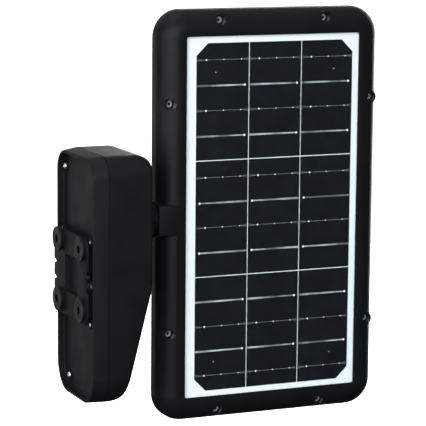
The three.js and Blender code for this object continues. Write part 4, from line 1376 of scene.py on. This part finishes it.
def place_camera():
    """Puts the camera behind and to the side of the housing, a little above it."""
    side = Vector((math.cos(CAMERA_AZIMUTH), math.sin(CAMERA_AZIMUTH), 0))
    back = Vector((math.sin(CAMERA_AZIMUTH) * math.cos(CAMERA_ELEVATION),
                   -math.cos(CAMERA_AZIMUTH) * math.cos(CAMERA_ELEVATION), math.sin(CAMERA_ELEVATION)))
    up = back.cross(side)
    right = side * math.cos(CAMERA_ROLL) + up * math.sin(CAMERA_ROLL)
    raised = up * math.cos(CAMERA_ROLL) - side * math.sin(CAMERA_ROLL)
    data = bpy.data.cameras.new("camera")
    data.lens = CAMERA_LENS
    data.clip_end = 100
    camera = bpy.data.objects.new("camera", data)
    bpy.context.scene.collection.objects.link(camera)
    turn = Matrix((right, raised, back)).transposed().to_4x4()
    camera.matrix_world = Matrix.Translation(CAMERA_PLACE) @ turn
    bpy.context.scene.camera = camera


def soft_light(name, place, target, size, power, colour=(1, 1, 1)):
    """A rectangular area light that faces a point."""
    data = bpy.data.lights.new(name, "AREA")
    data.shape = "RECTANGLE"
    data.size, data.size_y = size
    data.energy = power
    data.color = colour
    lamp = bpy.data.objects.new(name, data)
    bpy.context.scene.collection.objects.link(lamp)
    lamp.location = place
    lamp.rotation_euler = (Vector(target) - Vector(place)).to_track_quat("-Z", "Y").to_euler()
    lamp.visible_camera = False


def pale_backdrop():
    """A wide pale floor and a pale room round it that only the camera sees."""
    floor = bmesh.new()
    bmesh.ops.create_grid(floor, x_segments=4, y_segments=4, size=12000)
    floor.transform(Matrix.Translation((0, 0, FLOOR_Z / MM)))
    room = bmesh.new()
    bmesh.ops.create_uvsphere(room, u_segments=48, v_segments=24, radius=11000)
    for name, form in (("floor", floor), ("room", room)):
        made = smooth(piece(name, form, studio_paper()))
        made.visible_diffuse = made.visible_glossy = made.visible_shadow = False


def dim_surroundings():
    """A world that is dark below and dim above, so that black plastic stays black."""
    world = bpy.data.worlds.new("dim_room")
    world.use_nodes = True
    nodes, links = world.node_tree.nodes, world.node_tree.links
    direction = nodes.new("ShaderNodeTexCoord").outputs["Generated"]
    split = nodes.new("ShaderNodeSeparateXYZ")
    links.new(direction, split.inputs["Vector"])
    level = nodes.new("ShaderNodeMapRange")
    level.inputs["From Min"].default_value = -0.3
    level.inputs["From Max"].default_value = 0.8
    links.new(split.outputs["Z"], level.inputs["Value"])
    ramp = nodes.new("ShaderNodeValToRGB")
    ramp.color_ramp.elements[0].color = (0.05, 0.05, 0.05, 1)
    ramp.color_ramp.elements[1].color = (0.55, 0.55, 0.55, 1)
    links.new(level.outputs["Result"], ramp.inputs["Fac"])
    links.new(ramp.outputs["Color"], nodes["Background"].inputs["Color"])
    return world


class SOLARCAM_OT_studio(bpy.types.Operator):
    """Set up the floor, the soft lights, the room's dim surroundings and the camera"""

    bl_idname = "solarcam.studio"
    bl_label = "Studio"

    def execute(self, context):
        scene = context.scene
        scene.view_settings.view_transform = "Standard"
        scene.world = dim_surroundings()
        place_camera()
        pale_backdrop()
        target = (0, -0.13, 0.04)
        soft_light("top_light", (0.0, 0.4, 2.0), target, (1.6, 1.6), 13)
        soft_light("broad_light", (-2.1, 1.05, 0.66), target, (2.5, 2.1), 106, (0.84, 0.93, 1.0))
        soft_light("side_light", (-0.75, 2.15, 0.5), target, (1.8, 1.8), 34, (0.90, 0.96, 1.0))
        soft_light("far_light", (2.3, -0.7, 0.40), target, (2.0, 1.4), 2.5)
        soft_light("low_far_light", (2.2, 0.85, -0.2), target, (1.4, 1.0), 2.8)
        soft_light("front_light", (1.7, -1.8, 0.25), target, (2.0, 1.6), 62)
        return {"FINISHED"}


# ---------------------------------------------------------------- add-on

class SOLARCAM_PT_builder(bpy.types.Panel):
    """Lists the settings and the builders"""

    bl_idname = "SOLARCAM_PT_builder"
    bl_label = "Solar Camera"
    bl_space_type = "VIEW_3D"
    bl_region_type = "UI"
    bl_category = "Solar Camera"

    def draw(self, context):
        for group in (housing_settings(), panel_settings(), finishes()):
            column = self.layout.box().column()
            for name in group.__annotations__:
                column.prop(group, name)
        for operator in OPERATORS:
            self.layout.operator(operator.bl_idname)


OPERATORS = (
    SOLARCAM_OT_studio, SOLARCAM_OT_bracket, SOLARCAM_OT_rear_cover, SOLARCAM_OT_front_shell,
    SOLARCAM_OT_seat, SOLARCAM_OT_screws, SOLARCAM_OT_window, SOLARCAM_OT_service, SOLARCAM_OT_swivel,
    SOLARCAM_OT_panel_frame, SOLARCAM_OT_panel_back, SOLARCAM_OT_cells, SOLARCAM_OT_insides,
)
GROUPS = {
    "solar_camera_housing": SolarCameraHousing,
    "solar_camera_panel": SolarCameraPanel,
    "solar_camera_finishes": SolarCameraFinishes,
}


def register():
    for group in GROUPS.values():
        bpy.utils.register_class(group)
    for name, group in GROUPS.items():
        setattr(bpy.types.Scene, name, PointerProperty(type=group))
    for operator in OPERATORS:
        bpy.utils.register_class(operator)
    bpy.utils.register_class(SOLARCAM_PT_builder)


def unregister():
    bpy.utils.unregister_class(SOLARCAM_PT_builder)
    for operator in reversed(OPERATORS):
        bpy.utils.unregister_class(operator)
    for name in GROUPS:
        delattr(bpy.types.Scene, name)
    for group in reversed(list(GROUPS.values())):
        bpy.utils.unregister_class(group)


def main():
    register()
    for operator in OPERATORS:
        group, name = operator.bl_idname.split(".")
        getattr(getattr(bpy.ops, group), name)()


if __name__ == "__main__":
    main()
